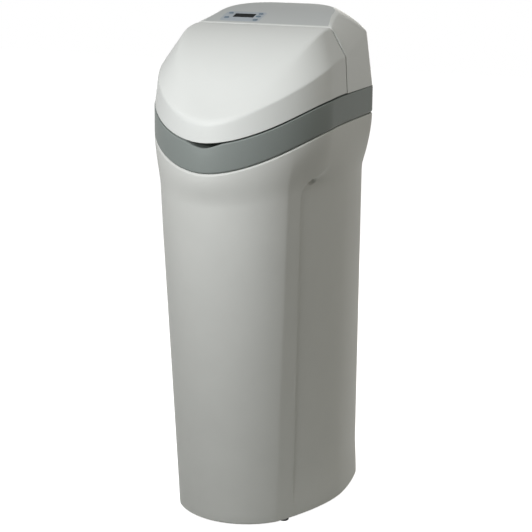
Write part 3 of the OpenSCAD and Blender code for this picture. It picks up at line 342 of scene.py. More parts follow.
def linked(name, data):
    """A new object in the scene."""
    thing = bpy.data.objects.new(name, data)
    bpy.context.scene.collection.objects.link(thing)
    return thing


def place_piece(name, data, body, materials, nodes=(), angle=35):
    """Links a finished mesh as a piece that rides on a body and stands for CAD nodes."""
    data.materials.clear()
    for material in materials:
        data.materials.append(material)
    data.shade_smooth()
    data.set_sharp_from_angle(angle=math.radians(angle))
    piece = linked(name, data)
    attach(piece, body)
    if nodes:
        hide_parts(*nodes)
    return piece


def evaluated(carrier):
    """The mesh that an object's modifiers make; the object is removed."""
    bpy.context.view_layer.update()
    graph = bpy.context.evaluated_depsgraph_get()
    result = bpy.data.meshes.new_from_object(carrier.evaluated_get(graph))
    carrier.modifiers.clear()
    bpy.data.objects.remove(carrier)
    return result


def baked(data, modifiers):
    """Applies modifiers, given as (kind, settings), to a mesh and returns the result."""
    carrier = linked("carrier", data)
    for kind, settings in modifiers:
        modifier = carrier.modifiers.new(kind.lower(), kind)
        for key, value in settings.items():
            setattr(modifier, key, value)
    return evaluated(carrier)


def bevelled(data, width):
    """A mesh with its sharp edges rounded, the width in millimetres."""
    settings = {"width": width * MM, "segments": 2, "limit_method": "ANGLE", "angle_limit": math.radians(40)}
    return baked(data, [("BEVEL", settings)])


def cut(data, cutters):
    """Takes cutter meshes out of a mesh."""
    tools = [linked(f"cutter_{k}", cutter) for k, cutter in enumerate(cutters)]
    steps = [("BOOLEAN", {"operation": "DIFFERENCE", "object": tool, "solver": "EXACT"}) for tool in tools]
    result = baked(data, steps)
    for tool in tools:
        bpy.data.objects.remove(tool)
    return result


def prism(outline, low, high, frame_matrix=None):
    """A closed prism over a plan outline, in millimetres, laid in a frame."""
    skin = Skin()
    skin.solid([raise_to(outline, low), raise_to(outline, high)])
    data = skin.mesh("prism")
    if frame_matrix is not None:
        data.transform(frame_matrix)
    return data


def rectangle(cx, cy, w, h, r=0.0, steps=6):
    """Plan outline of a rectangle with round corners."""
    corners = [(1, 1, 0), (-1, 1, 90), (-1, -1, 180), (1, -1, 270)]
    if r <= 0:
        return np.array([[cx + sx * w / 2, cy + sy * h / 2] for sx, sy, _ in corners])
    return np.vstack([round_points(cx + sx * (w / 2 - r), cy + sy * (h / 2 - r), r, turn, turn + 90, steps)
                      for sx, sy, turn in corners])


def lathe(profile, steps=48):
    """A closed turned solid from a profile of radius and height, in millimetres."""
    turn = np.linspace(0, 2 * math.pi, steps, endpoint=False)
    skin = Skin()
    skin.solid([columns(r * np.cos(turn), r * np.sin(turn), z) for r, z in profile])
    return skin.mesh("lathe")


# Settings that a user would change


class SoftenerSizes(bpy.types.PropertyGroup):
    """Sizes of the shells and the panel."""

    rim_width: FloatProperty(
        name="Rim width", description="Width of the rim, the widest part",
        default=RIM_HIGH.x - RIM_LOW.x, unit="LENGTH")
    rim_depth: FloatProperty(
        name="Rim depth", description="Depth of the rim, front to rear",
        default=RIM_HIGH.y - RIM_LOW.y, unit="LENGTH")
    rim_height: FloatProperty(
        name="Rim height", description="Height of the rim band", default=0.066, unit="LENGTH")
    rim_rear_z: FloatProperty(
        name="Rim level", description="Height of the rim's lower edge at the rear",
        default=0.947, unit="LENGTH")
    rim_drop: FloatProperty(
        name="Rim drop", description="Drop of the rim towards the front", default=0.0875, unit="LENGTH")
    bow_depth: FloatProperty(
        name="Bow depth", description="Depth of the bowed front of the rim", default=0.239, unit="LENGTH")
    corner_radius: FloatProperty(
        name="Rear corner", description="Radius of the cabinet's rear corners", default=0.050, unit="LENGTH")
    seam_y: FloatProperty(
        name="Seam place", description="Place of the seam between lid and cover",
        default=0.057, unit="LENGTH")
    seam_z: FloatProperty(
        name="Seam height", description="Height of the lid's hinge edge", default=1.162, unit="LENGTH")
    panel_slope: FloatProperty(
        name="Panel slope", description="Slope of the control panel",
        default=math.radians(12), subtype="ANGLE")
    panel_crown: FloatProperty(
        name="Panel crown", description="Rise of the panel's middle over its edges",
        default=0.008, unit="LENGTH")
    crease_reach: FloatProperty(
        name="Crease rounding", description="How far the cabinet's side crease is rounded",
        default=0.004, unit="LENGTH")
    recess_depth: FloatProperty(
        name="Side recess", description="Depth of the recess in each side", default=0.0045, unit="LENGTH")
    shell_wall: FloatProperty(
        name="Shell wall", description="Wall of the lid and the cover", default=0.0035, unit="LENGTH")


class SoftenerColours(bpy.types.PropertyGroup):
    """Colours of the parts that show."""

    cabinet: FloatVectorProperty(
        name="Cabinet", description="Moulded cabinet", subtype="COLOR",
        default=linear("#d0d1cd"), min=0, max=1)
    shell: FloatVectorProperty(
        name="Shell", description="Lid and top cover", subtype="COLOR",
        default=linear("#d2d4d1"), min=0, max=1)
    rim: FloatVectorProperty(
        name="Rim", description="Grey rim band", subtype="COLOR",
        default=linear("#848a87"), min=0, max=1)
    panel: FloatVectorProperty(
        name="Panel", description="Control faceplate", subtype="COLOR",
        default=linear("#b6b9b8"), min=0, max=1)
    label: FloatVectorProperty(
        name="Label", description="Tinted field round the display", subtype="COLOR",
        default=linear("#a6adb3"), min=0, max=1)
    keys: FloatVectorProperty(
        name="Keys", description="Push buttons", subtype="COLOR",
        default=linear("#61727f"), min=0, max=1)
    tank: FloatVectorProperty(
        name="Tank", description="Wound resin tank", subtype="COLOR",
        default=linear("#4d5f70"), min=0, max=1)


# Materials


def moulded(name, colour, roughness, grain_mm, grain_depth, drift=0.04, gloss=0.35):
    """Injection moulded thermoplastic: an even colour, faint flow marks and a fine spark-eroded grain."""
    material, tree, place = start_material(name)
    base = Vector(colour)
    flow = noise(tree, place, 9.0, 3.0, Roughness=0.55)
    # The real grain is about 0.2 mm; it is drawn at grain_mm so that it shows at arm's length
    grain = noise(tree, place, 1 / (grain_mm * MM), 2.0)
    wave = noise(tree, place, 1 / (60 * MM), 1.0)
    sink = relief(tree, wave, 0.12, 0.0012)
    return end_material(material, {
        "Base Color": tone(tree, flow, base * (1 - drift), base * (1 + drift)),
        "Roughness": ranged(tree, flow, roughness - 0.05, roughness + 0.05), "IOR": 1.5,
        "Normal": relief(tree, grain, 0.35, grain_depth * MM, Normal=sink), "Specular IOR Level": gloss})


def cabinet_polyethylene(colours):
    """Blow-moulded high-density polyethylene: a soft satin with a fine grain."""
    return moulded("cabinet_polyethylene", colours.cabinet, 0.52, 1.4, 0.06, gloss=0.14)


def shell_abs(colours):
    """Injection moulded ABS of the lid and cover: a little smoother than the cabinet."""
    return moulded("shell_abs", colours.shell, 0.42, 1.1, 0.05, drift=0.02, gloss=0.18)


def rim_abs(colours):
    """Grey ABS with a satin face that catches the light along its bow."""
    return moulded("rim_abs", colours.rim, 0.42, 0.9, 0.05, drift=0.03, gloss=0.06)


def on_panel(tree, place, plan):
    """Coordinates that lie along the sloped panel."""
    seam = (0, plan.seam_y * MM, plan.seam_z * MM)
    inputs = {"Vector": place, "Location": seam, "Rotation": (plan.slope, 0, 0)}
    return add(tree, "ShaderNodeMapping", inputs, vector_type="TEXTURE").outputs["Vector"]


def panel_film(colours, plan):
    """Printed polycarbonate film on the faceplate: grey ground, tinted field round the display."""
    material, tree, place = start_material("panel_film")
    field_middle, field_half = (-0.072, 0.045, 0), (0.042, 0.020, 1)
    field = vector(tree, "SUBTRACT", on_panel(tree, place, plan), field_middle)
    near = vector(tree, "ABSOLUTE", field.outputs["Vector"])
    past = vector(tree, "SUBTRACT", near.outputs["Vector"], field_half)
    kept = vector(tree, "MAXIMUM", past.outputs["Vector"], (0, 0, 0))
    far = vector(tree, "LENGTH", kept.outputs["Vector"])
    inside = add(tree, "ShaderNodeMapRange", {
        "Value": far.outputs["Value"], "From Min": 0.0095, "From Max": 0.0105, "To Min": 1.0, "To Max": 0.0},
        interpolation_type="SMOOTHSTEP")
    ink = noise(tree, place, 1 / (0.8 * MM), 2.0)
    return end_material(material, {
        "Base Color": tone(tree, inside.outputs["Result"], colours.panel, colours.label),
        "Roughness": ranged(tree, ink, 0.46, 0.54), "IOR": 1.58,
        "Normal": relief(tree, ink, 0.15, 0.00003), "Specular IOR Level": 0.12})


def smoked_window():
    """Smoked acrylic over the display: clear, dark and polished."""
    material, tree, place = start_material("smoked_window")
    haze = noise(tree, place, 1 / (3 * MM), 2.0)
    return end_material(material, {
        "Base Color": rgba("#1c2224"), "Roughness": ranged(tree, haze, 0.04, 0.09), "IOR": 1.08,
        "Transmission Weight": 0.6, "Specular IOR Level": 0.05})


def display_glass(plan):
    """Unlit liquid crystal cell: near black with a faint green cast and a grid of idle segments."""
    material, tree, place = start_material("display_glass")
    grid = add(tree, "ShaderNodeTexBrick", {
        "Vector": on_panel(tree, place, plan), "Scale": 1 / (9 * MM), "Color1": rgba("#1b2324"),
        "Color2": rgba("#1e2728"), "Mortar": rgba("#141a1b"), "Mortar Size": 0.03})
    return end_material(material, {"Base Color": grid.outputs["Color"], "Roughness": 0.12, "IOR": 1.52})


def key_rubber(colours):
    """Silicone keypad: slate blue, soft and slightly dusty."""
    return moulded("key_rubber", colours.keys, 0.5, 0.7, 0.04, drift=0.05)


def key_ink():
    """Screen-printed pale ink of the key symbols."""
    return moulded("key_ink", linear("#dfe6ea"), 0.45, 0.5, 0.01, drift=0.02)


def foot_rubber():
    """Moulded black rubber of feet, grommet and seals: matt, with a dusty bloom."""
    material, tree, place = start_material("foot_rubber")
    bloom = noise(tree, place, 1 / (8 * MM), 5.0)
    pits = noise(tree, place, 1 / (0.6 * MM), 2.0)
    return end_material(material, {
        "Base Color": tone(tree, bloom, "#232426", "#3a3b3c"), "Roughness": 0.75, "IOR": 1.52,
        "Normal": relief(tree, pits, 0.4, 0.00008)})


def zinc_steel():
    """Zinc-plated steel: bright, with fine drawn lines and small cloudy patches."""
    material, tree, place = start_material("zinc_steel")
    drawn = add(tree, "ShaderNodeMapping", {"Vector": place, "Scale": (1, 1, 0.06)}).outputs["Vector"]
    lines = noise(tree, drawn, 1 / (0.7 * MM), 3.0)
    cloud = noise(tree, place, 1 / (12 * MM), 3.0)
    return end_material(material, {
        "Base Color": tone(tree, cloud, "#aeb1b4", "#cbced1"), "Metallic": 1.0,
        "Roughness": ranged(tree, lines, 0.24, 0.42), "Normal": relief(tree, lines, 0.15, 0.00005)})


def wound_shell(colours):
    """Filament-wound glass fibre in resin: crossing helical tows 6 mm wide under a glossy coat."""
    material, tree, place = start_material("wound_shell")
    axis_y = (TANK_LOW.y + TANK_HIGH.y) / 2
    tow, rise, turns = 0.006, 0.82, 68
    about = vector(tree, "SUBTRACT", place, (0, axis_y, 0))
    parts = add(tree, "ShaderNodeSeparateXYZ", {0: about.outputs["Vector"]}).outputs
    angle = maths(tree, "ARCTAN2", parts["Y"], parts["X"])
    climb = maths(tree, "MULTIPLY", parts["Z"], 2 * math.pi * rise / tow)
    bands = [maths(tree, "SINE", maths(tree, "MULTIPLY_ADD", angle, lean, climb)) for lean in (-turns, turns)]
    weave = maths(tree, "MAXIMUM", *bands)
    inputs = {"Value": weave, "From Min": -1.0, "From Max": 1.0}
    height = add(tree, "ShaderNodeMapRange", inputs).outputs["Result"]
    base = Vector(colours.tank)
    return end_material(material, {
        "Base Color": tone(tree, height, base * 0.72, base * 1.12), "Roughness": 0.32, "IOR": 1.54,
        "Normal": relief(tree, height, 0.4, 0.0003), "Coat Weight": 0.4, "Coat Roughness": 0.15})


def natural_polypropylene():
    """Natural white polypropylene of the brine parts: waxy and a little translucent."""
    material, tree, place = start_material("natural_polypropylene")
    flow = noise(tree, place, 14.0, 3.0)
    grain = noise(tree, place, 1 / (1.2 * MM), 2.0)
    return end_material(material, {
        "Base Color": tone(tree, flow, "#d9d9d1", "#e7e7e1"), "Roughness": 0.42, "IOR": 1.49,
        "Normal": relief(tree, grain, 0.2, 0.00005), "Subsurface Weight": 0.15, "Subsurface Scale": 0.004})


def glass_filled_black():
    """Black glass-filled polyphenylene of the valve: fibre swirls at the surface, satin."""
    material, tree, place = start_material("glass_filled_black")
    drawn = add(tree, "ShaderNodeMapping", {"Vector": place, "Scale": (1, 0.25, 1)}).outputs["Vector"]
    fibre = noise(tree, drawn, 1 / (1.6 * MM), 4.0, Distortion=0.6)
    return end_material(material, {
        "Base Color": tone(tree, fibre, "#26282a", "#393c3f"), "Roughness": 0.48, "IOR": 1.56,
        "Normal": relief(tree, fibre, 0.3, 0.00006)})


def turbine_acetal():
    """Blue acetal of the turbine wheel: hard, smooth and slightly glossy."""
    return moulded("turbine_acetal", linear("#3f67a0"), 0.3, 0.8, 0.02, drift=0.05)


def float_foam():
    """Closed-cell foam of the float: pale skin with open-looking cells about 2 mm wide."""
    material, tree, place = start_material("float_foam")
    cells = add(tree, "ShaderNodeTexVoronoi", {"Vector": place, "Scale": 1 / (2 * MM)}).outputs["Distance"]
    return end_material(material, {
        "Base Color": tone(tree, cells, "#d2d5d8", "#b9bdc2"), "Roughness": 0.7, "IOR": 1.45,
        "Normal": relief(tree, cells, 0.5, 0.0003)})


def circuit_board():
    """Glass-epoxy board under green solder mask: copper runs show as paler raised lines."""
    material, tree, place = start_material("circuit_board")
    runs = add(tree, "ShaderNodeTexBrick", {
        "Vector": place, "Scale": 1 / (7 * MM), "Color1": rgba("#1f4a31"), "Color2": rgba("#245439"),
        "Mortar": rgba("#3f7a55"), "Mortar Size": 0.05}).outputs
    return end_material(material, {
        "Base Color": runs["Color"], "Roughness": 0.28, "IOR": 1.55,
        "Normal": relief(tree, runs["Fac"], 0.3, 0.00005)})


def brine_hose_polyethylene():
    """Extruded polyethylene of the brine tube: milky and smooth."""
    return moulded("brine_hose_polyethylene", linear("#d6d7cd"), 0.35, 1.6, 0.03, drift=0.03)


def adaptor_noryl():
    """Grey modified polyphenylene of the pipe adaptors: satin, with a fine grain."""
    return moulded("adaptor_noryl", linear("#9da1a2"), 0.4, 0.9, 0.05)


# Cabinet


BOW_STEPS = 48
CREASE_STEPS = 8
STRIP_STEPS = 10
EDGE_STEPS = 10
SIDE_STEPS = 26
REST_STEPS = 18
CORNER_STEPS = 14
REAR_STEPS = 6


class Cabinet:
    """Outlines of the cabinet: a bowed front, a crease, a swelling side with a recess, round rear corners."""

    inset = 0.3
    wall = 5
    foot_h = 6
    floor_z = 12
    base_round = 6
    lip_round = 3
    flat_z = 700
    # Height at which the body's taper reaches its top outline
    taper_z = 867
    base_back, top_back = 77, 11
    crease_base_x, crease_base_back = 128.0, 58
    crease_top_x, crease_top_back = 163.0, 95
    side_in, side_back = 7, 180
    rear_gap = 2
    strip_w = 45
    edge_w = 2.2
    arch_r = 48
    arch_from, arch_to = 0.38, 0.58
    arch_spare = 30
    side_swell = 1.7
    rear_in = 15
    corner_turn = 13
    fade_z = 110
    # The recess's edge is soft behind the arch
    soft_w, soft_ahead, soft_run, soft_below = 34, 10, 80, 60
    # Half sizes, place from the arch's middle and crown, spread and depth of the spot under the arch
    pocket_y, pocket_z = 11, 5
    pocket_ahead, pocket_below = 4, 7
    pocket_spread = 1.6
    pocket_depth = 7
    recess_from_x = 60
    # Where the flare starts on the side and on the front, as shares of its height, and its power on the side
    flare_side, flare_front, flare_power = 0.48, 0.5, 1.3
    side_from, side_run = 8, 120
    hold_from, hold_run = 20, 60

    def __init__(self, plan, sizes):
        self.plan = plan
        self.reach = sizes.crease_reach / MM
        self.recess = sizes.recess_depth / MM
        self.corner_r = sizes.corner_radius / MM
        self.base_front = plan.front_y + self.base_back
        self.top_front = plan.front_y + self.top_back
        self.crease_base = np.array([self.crease_base_x, self.base_front + self.crease_base_back])
        self.crease_top = np.array([self.crease_top_x, self.top_front + self.crease_top_back])
        self.side_max_x = plan.half_w - self.side_in
        self.side_max_y = plan.rear_y - self.side_back
        self.rear_y = plan.rear_y - self.rear_gap
        self.rear_w = self.side_max_x - self.rear_in
        self.turn = math.radians(self.corner_turn)
        self.corner_y = self.rear_y - self.corner_r * (1 - math.sin(self.turn))

    def crease(self, z):
        return mix(self.crease_base, self.crease_top, z / self.taper_z)

    def side_x(self, y, c):
        swell = np.maximum(0, 1 - (y - c[1]) / (self.side_max_y - c[1])) ** self.side_swell
        draw = np.maximum(0, (y - self.side_max_y) / (self.corner_y - self.side_max_y)) ** 2
        return self.side_max_x - (self.side_max_x - c[0]) * swell - self.rear_in * draw

    def side_ys(self, c, w):
        """Places along the side, close together at the edge of the recess."""
        arch = min(1.0, max(0.0, (w - self.arch_from) / (self.arch_to - self.arch_from)))
        edge = c[1] + self.strip_w + self.arch_r * (1 - math.sqrt(1 - arch ** 2))
        near, past = edge - self.edge_w, edge + self.edge_w
        far = edge + self.arch_r + self.arch_spare
        return np.concatenate([np.linspace(c[1] + 0.88 * self.reach, near, STRIP_STEPS, endpoint=False),
                               np.linspace(near, past, EDGE_STEPS, endpoint=False),
                               np.linspace(past, far, SIDE_STEPS, endpoint=False),
                               np.linspace(far, self.corner_y, REST_STEPS)])

    def body_half(self, z, w, d):
        """Half of the plan at height z, wall inset d."""
        c = self.crease(z)
        front = mix(self.base_front, self.top_front, z / self.taper_z) + d
        corner = np.array([c[0] - 0.8 * d, c[1] + 0.6 * d])
        rise = corner[1] - front
        radius = (corner[0] ** 2 + rise ** 2) / (2 * rise)
        turn = math.asin(corner[0] / radius)
        t = turn * np.linspace(0, 1 - self.reach / (radius * turn), BOW_STEPS + 1)
        bow = columns(radius * np.sin(t), front + radius * (1 - np.cos(t)))
        ys = self.side_ys(c, w)
        side = columns(self.side_x(ys, c) - d, ys)
        tail = arc(self.rear_w - self.corner_r * math.cos(self.turn), self.rear_y - self.corner_r,
                   self.corner_r - d, self.corner_turn, 90, CORNER_STEPS)
        return self.join(bow, corner, side, tail, self.rear_y - d)

    def rim_half(self, w, d):
        """Half of the rim's plan with the same count of points."""
        plan = self.plan
        c = self.crease_top
        xc = float(plan.rim_x(np.array(c[1]), d))
        # The bow is stepped by the sine of an angle up to 60 degrees; it is about 190 mm long
        share = np.linspace(0, 1 - self.reach / 190, BOW_STEPS + 1)
        x = xc * np.sin(np.radians(60 * share)) / math.sin(math.radians(60))
        bow = columns(x, plan.bow_y(x, d))
        ys = np.minimum(self.side_ys(c, w), plan.turn_y)
        side = columns(plan.rim_x(ys, d), ys)
        tail = arc(plan.half_w - plan.rear_draw - plan.rear_r, plan.turn_y, plan.rear_r - d,
                   0, 90, CORNER_STEPS)
        return self.join(bow, np.array([xc, c[1]]), side, tail, plan.rear_y - d)

    def join(self, bow, corner, side, tail, rear):
        turn = np.array(bend(bow[-1], corner, side[0], CREASE_STEPS))[1:-1]
        back = columns(after(tail[-1][0], 0, REAR_STEPS), rear)
        return np.vstack([bow, turn, side, tail, back])

    def arch_middle(self, c):
        return c[1] + self.strip_w + self.arch_r

    def sink(self, points, c):
        """Depth of the side recess at points: behind a strip, under an arch, softer towards the rear."""
        y, z = points[:, 1], points[:, 2]
        arch_z = mix(self.flat_z, float(self.plan.rim_lo(np.array(c[1] + self.strip_w))), self.arch_from)
        middle = self.arch_middle(c)
        up = z - arch_z
        round_edge = self.arch_r - np.hypot(y - middle, up)
        inside = np.where(up < 0, np.minimum(y - c[1] - self.strip_w, self.arch_r),
                          np.where(y < middle, round_edge, self.arch_r - up))
        behind = smooth((y - middle + self.soft_ahead) / self.soft_run)
        soft = np.where(up > -self.soft_below, mix(self.edge_w, self.soft_w, behind), self.edge_w)
        low = smooth((z - self.foot_h - self.base_round) / (self.fade_z - self.foot_h))
        spot = np.hypot((y - middle + self.pocket_ahead) / self.pocket_y,
                        (up - self.arch_r + self.pocket_below) / self.pocket_z)
        pocket = smooth(self.pocket_spread - spot)
        return self.recess * smooth((inside + soft) / (2 * soft)) * low + self.pocket_depth * pocket

    def sunk(self, half, c, share=1.0):
        depth = self.sink(half, c) * share
        half[:, 0] -= np.minimum(depth, np.maximum(half[:, 0], 0)) * (half[:, 0] > self.recess_from_x)
        return whole(half)

    def flat_ring(self, z, d):
        return self.sunk(raise_to(self.body_half(z, 0, d), z), self.crease(z))

    def flared_ring(self, w, d, drop=0.0):
        """Ring at share w between the flat part and the rim."""
        z = mix(self.flat_z, self.taper_z, w)
        c = self.crease(z)
        body = self.body_half(z, w, d)
        rim = self.rim_half(w, d + self.inset)
        beyond = np.arange(len(body)) > BOW_STEPS
        side = smooth((body[:, 1] - c[1] - self.side_from) / self.side_run) * beyond
        started = min(1, max(0, (w - self.flare_side) / (1 - self.flare_side)))
        early = math.sin(math.pi / 2 * started) ** self.flare_power
        late = float(smooth((w - self.flare_front) / (1 - self.flare_front)))
        blend = mix(late, early, side)
        half = mix(body, rim, blend[:, None])
        ring = raise_to(half, mix(self.flat_z, self.plan.rim_lo(half[:, 1]), w) - drop)
        # Under the arch the side stays upright, so that the flare starts with a step there
        hold = side * (1 - smooth((half[:, 1] - self.arch_middle(c) - self.hold_from) / self.hold_run))
        inside = np.clip(self.sink(ring, c) / self.recess, 0, 1)
        half = mix(body, rim, (blend * (1 - hold * inside))[:, None])
        ring = raise_to(half, ring[:, 2])
        return self.sunk(ring, c, mix(1 - early, 1, hold))

    def rings(self):
        """Outer rings from the base up, the lip, then inner rings down to the floor."""
        turn = np.linspace(0, math.pi / 2, 7)
        base, lip = self.base_round, self.lip_round
        rings = [self.flat_ring(self.foot_h + base * (1 - math.cos(t)), base * (1 - math.sin(t)))
                 for t in turn]
        for low, high, steps in ((self.foot_h + base, self.fade_z, 8), (self.fade_z, self.flat_z, 14)):
            rings += [self.flat_ring(z, 0) for z in after(low, high, steps)]
        for low, high, steps in ((0, 0.34, 7), (0.34, 0.64, 53), (0.64, 0.985, 21)):
            rings += [self.flared_ring(w, 0) for w in after(low, high, steps)]
        rings += [self.flared_ring(1, lip * (1 - math.cos(t)), lip * (1 - math.sin(t))) for t in turn]
        rings += [self.flared_ring(w, self.wall) for w in np.linspace(1, 0.3, 36)]
        inner = (self.flat_z, 500, 300, self.fade_z, self.floor_z + base)
        rings += [self.flat_ring(z, self.wall) for z in inner]
        return rings + [self.flat_ring(self.floor_z, self.wall + base)]


class SOFTENER_OT_cabinet(bpy.types.Operator):
    """Builds the smooth cabinet shell and its overflow hole"""

    bl_idname = "softener.cabinet"
    bl_label = "Cabinet"

    hole_r = 11
    hole_reach = 20
    hole_in = 0.006

    def execute(self, context):
        sizes = context.scene.softener_sizes
        skin = Skin()
        skin.solid(Cabinet(Plan(sizes), sizes).rings())
        low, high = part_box("overflow_grommet")
        middle = (low + high) / 2
        hole = lathe([(self.hole_r, -self.hole_reach), (self.hole_r, self.hole_reach)])
        seat = Matrix.Translation((middle.x, high.y - self.hole_in, middle.z))
        hole.transform(seat @ Matrix.Rotation(math.pi / 2, 4, "X"))
        data = cut(skin.mesh("cabinet_shell"), [hole])
        place_piece("cabinet_shell", data, "cabinet",
                    [cabinet_polyethylene(context.scene.softener_colours)], ["cabinet"], angle=40)
        return {"FINISHED"}


# Rim


class SOFTENER_OT_rim(bpy.types.Operator):
    """Builds the grey rim band with its finger scoop, ledge and upstand"""

    bl_idname = "softener.rim"
    bl_label = "Rim"

    scoop_w = 106
    scoop_depth = 8
    scoop_push = 4
    # Share up the flare whose point spacing the rim takes
    spacing = 0.7
    # Profile corners: inset, share of the band's height, lift, dip in the scoop, push in the scoop, rounding
    profile = [(4.2, 0, 0.3, 0, 0, None), (4, 0, 1.4, 0, 0, 0.8), (0, 0, 5.4, 0, 0, 2.2),
               (0.2, 0.6, 0, 0, 0, None), (0.4, 1, 0, 1, 1, 2), (3.4, 1, 0, 1, 1, 0.8),
               (3.4, 1, -5, 2.2, 1, None), (7.3, 1, -5, 2.2, 10, None), (7.3, 1, 6, 0, 10, 0.6),
               (9, 1, 6, 0, 10, 0.6), (9, 0, -8, 0, 10, None), (6.8, 0, -8, 0, 0, None),
               (5.6, 0, 0.3, 0, 0, None)]

    def ring(self, shape, inset, share, lift, dip, push):
        plan = shape.plan
        points = whole(shape.rim_half(self.spacing, inset))
        x, y = points[:, 0], points[:, 1]
        dent = np.where(y > 0, 0, np.cos(np.minimum(math.pi / 2, math.pi * np.abs(x) / self.scoop_w)) ** 2)
        z = plan.rim_lo(y) + share * plan.rim_h + lift - dip * self.scoop_depth * dent
        return columns(x, y + push * self.scoop_push * dent, z)

    def execute(self, context):
        sizes = context.scene.softener_sizes
        shape = Cabinet(Plan(sizes), sizes)
        corners = [self.ring(shape, *row[:5]) for row in self.profile]
        reaches = {k: row[5] for k, row in enumerate(self.profile) if row[5]}
        skin = Skin()
        skin.lap(rounded(corners, reaches, True, steps=6))
        place_piece("rim_band", skin.mesh("rim_band"), "cabinet",
                    [rim_abs(context.scene.softener_colours)], ["rim"], angle=50)
        return {"FINISHED"}


# Salt lid


class Lid:
    """Rings of the salt lid from its lip over the crease to the top, open at the seam."""

    gap = 4
    inset = 2
    seam_gap = 1.5
    skirt_gap = 4.5
    bead_r = 4
    edge_r = 0.5
    lip_r = 0.9
    crease_up, top_up = 51, 86
    crease_back, top_back = 7, 61
    crease_less, top_less = 5, 14
    # Rounding at the front and at the side, and the shares of the outline where it changes: from, over
    crease_round = (12.0, 3.5, 0.1, 0.25)
    top_round = (34.0, 6.0, 0.25, 0.45)
    top_run = 46
    spacing = 9
    bow_steps = 64
    side_steps = 22
    across = 40

    def __init__(self, plan):
        self.plan = plan
        self.end = plan.seam_y - self.seam_gap
        self.skirt_end = plan.seam_y - self.skirt_gap
        self.hinge_y = self.end - self.bead_r
        self.hinge_z = plan.seam_z - self.bead_r
        front_up = float(plan.rim_up(np.array(plan.front_y)))
        # Half width, front place, bow depth, exponent, height at the seam, height at the front, power
        self.crease_spec = (
            plan.half_w - plan.crease_in, plan.front_y + self.crease_back, plan.bow_depth - self.crease_less,
            1.76, plan.seam_z - plan.crease_drop, front_up + self.crease_up, 1.71)
        self.top_spec = (
            plan.half_w - plan.top_in, plan.front_y + self.top_back, plan.bow_depth - self.top_less,
            1.86, plan.seam_z, front_up + self.top_up, 1.94)

    def outline(self, a, f, b, n, d, end):
        """Half plan from the front middle round the bow and along the side to the seam."""
        t = np.linspace(0, math.pi / 2, self.bow_steps + 1)
        bow = columns((a - d) * np.sin(t) ** (2 / n), f + b - (b - d) * np.abs(np.cos(t)) ** (2 / n))
        back = (1 - after(0, 1, self.side_steps)) ** 2.2
        ys = end - (end - f - b) * back
        over = np.clip(ys - end + self.edge_r, 0, self.edge_r)
        turn_in = self.edge_r - np.sqrt(self.edge_r ** 2 - over ** 2)
        return np.vstack([bow, columns(a - d - turn_in, ys)])

    def height(self, spec, y):
        share = np.maximum(0, (self.plan.seam_y - y) / (self.plan.seam_y - spec[1]))
        return spec[4] - (spec[4] - spec[5]) * share ** spec[6]

    def lip_ring(self, d):
        plan = self.plan
        half = self.outline(plan.half_w - self.inset, plan.front_y + self.inset, plan.bow_depth - self.inset,
                            plan.bow_n, d, self.skirt_end)
        return raise_to(half, plan.rim_up(half[:, 1]) + self.gap)

    def crease_ring(self, d):
        half = self.outline(*self.crease_spec[:4], d, self.skirt_end)
        return raise_to(half, self.height(self.crease_spec, half[:, 1]) - d)

    def top_ring(self, d, wall):
        """Ring on the top, which rolls over at the hinge edge."""
        half = self.outline(*self.top_spec[:4], d, self.end)
        over = np.clip(half[:, 1] - self.hinge_y, 0, self.bead_r)
        roll = self.bead_r - np.sqrt(self.bead_r ** 2 - over ** 2)
        return raise_to(half, self.height(self.top_spec, half[:, 1]) - roll - wall)

    def face(self, wall):
        """Half rings of the outer face (wall 0) or the inner one, edges rounded, with equal counts."""
        lip = self.lip_ring(wall)
        count = len(lip)
        ahead = np.linspace(0, 1, count)
        crease_reach, top_reach = (mix(front, side, smooth((ahead - start) / run))
                                   for front, side, start, run in (self.crease_round, self.top_round))
        corners = [self.lip_ring(self.lip_r if wall == 0 else wall - self.lip_r), lip, self.crease_ring(wall),
                   self.top_ring(wall, wall), self.top_ring(wall + self.top_run, wall)]
        reaches = {1: np.full(count, self.lip_r), 2: crease_reach, 3: top_reach}
        rings = rounded(corners, reaches, False, steps=10)
        filled = rings[:1]
        for ring in rings[1:]:
            widest = np.max(np.linalg.norm(ring - filled[-1], axis=1))
            filled.extend(span(filled[-1], ring, max(1, int(widest // self.spacing))))
            filled.append(ring)
        return filled


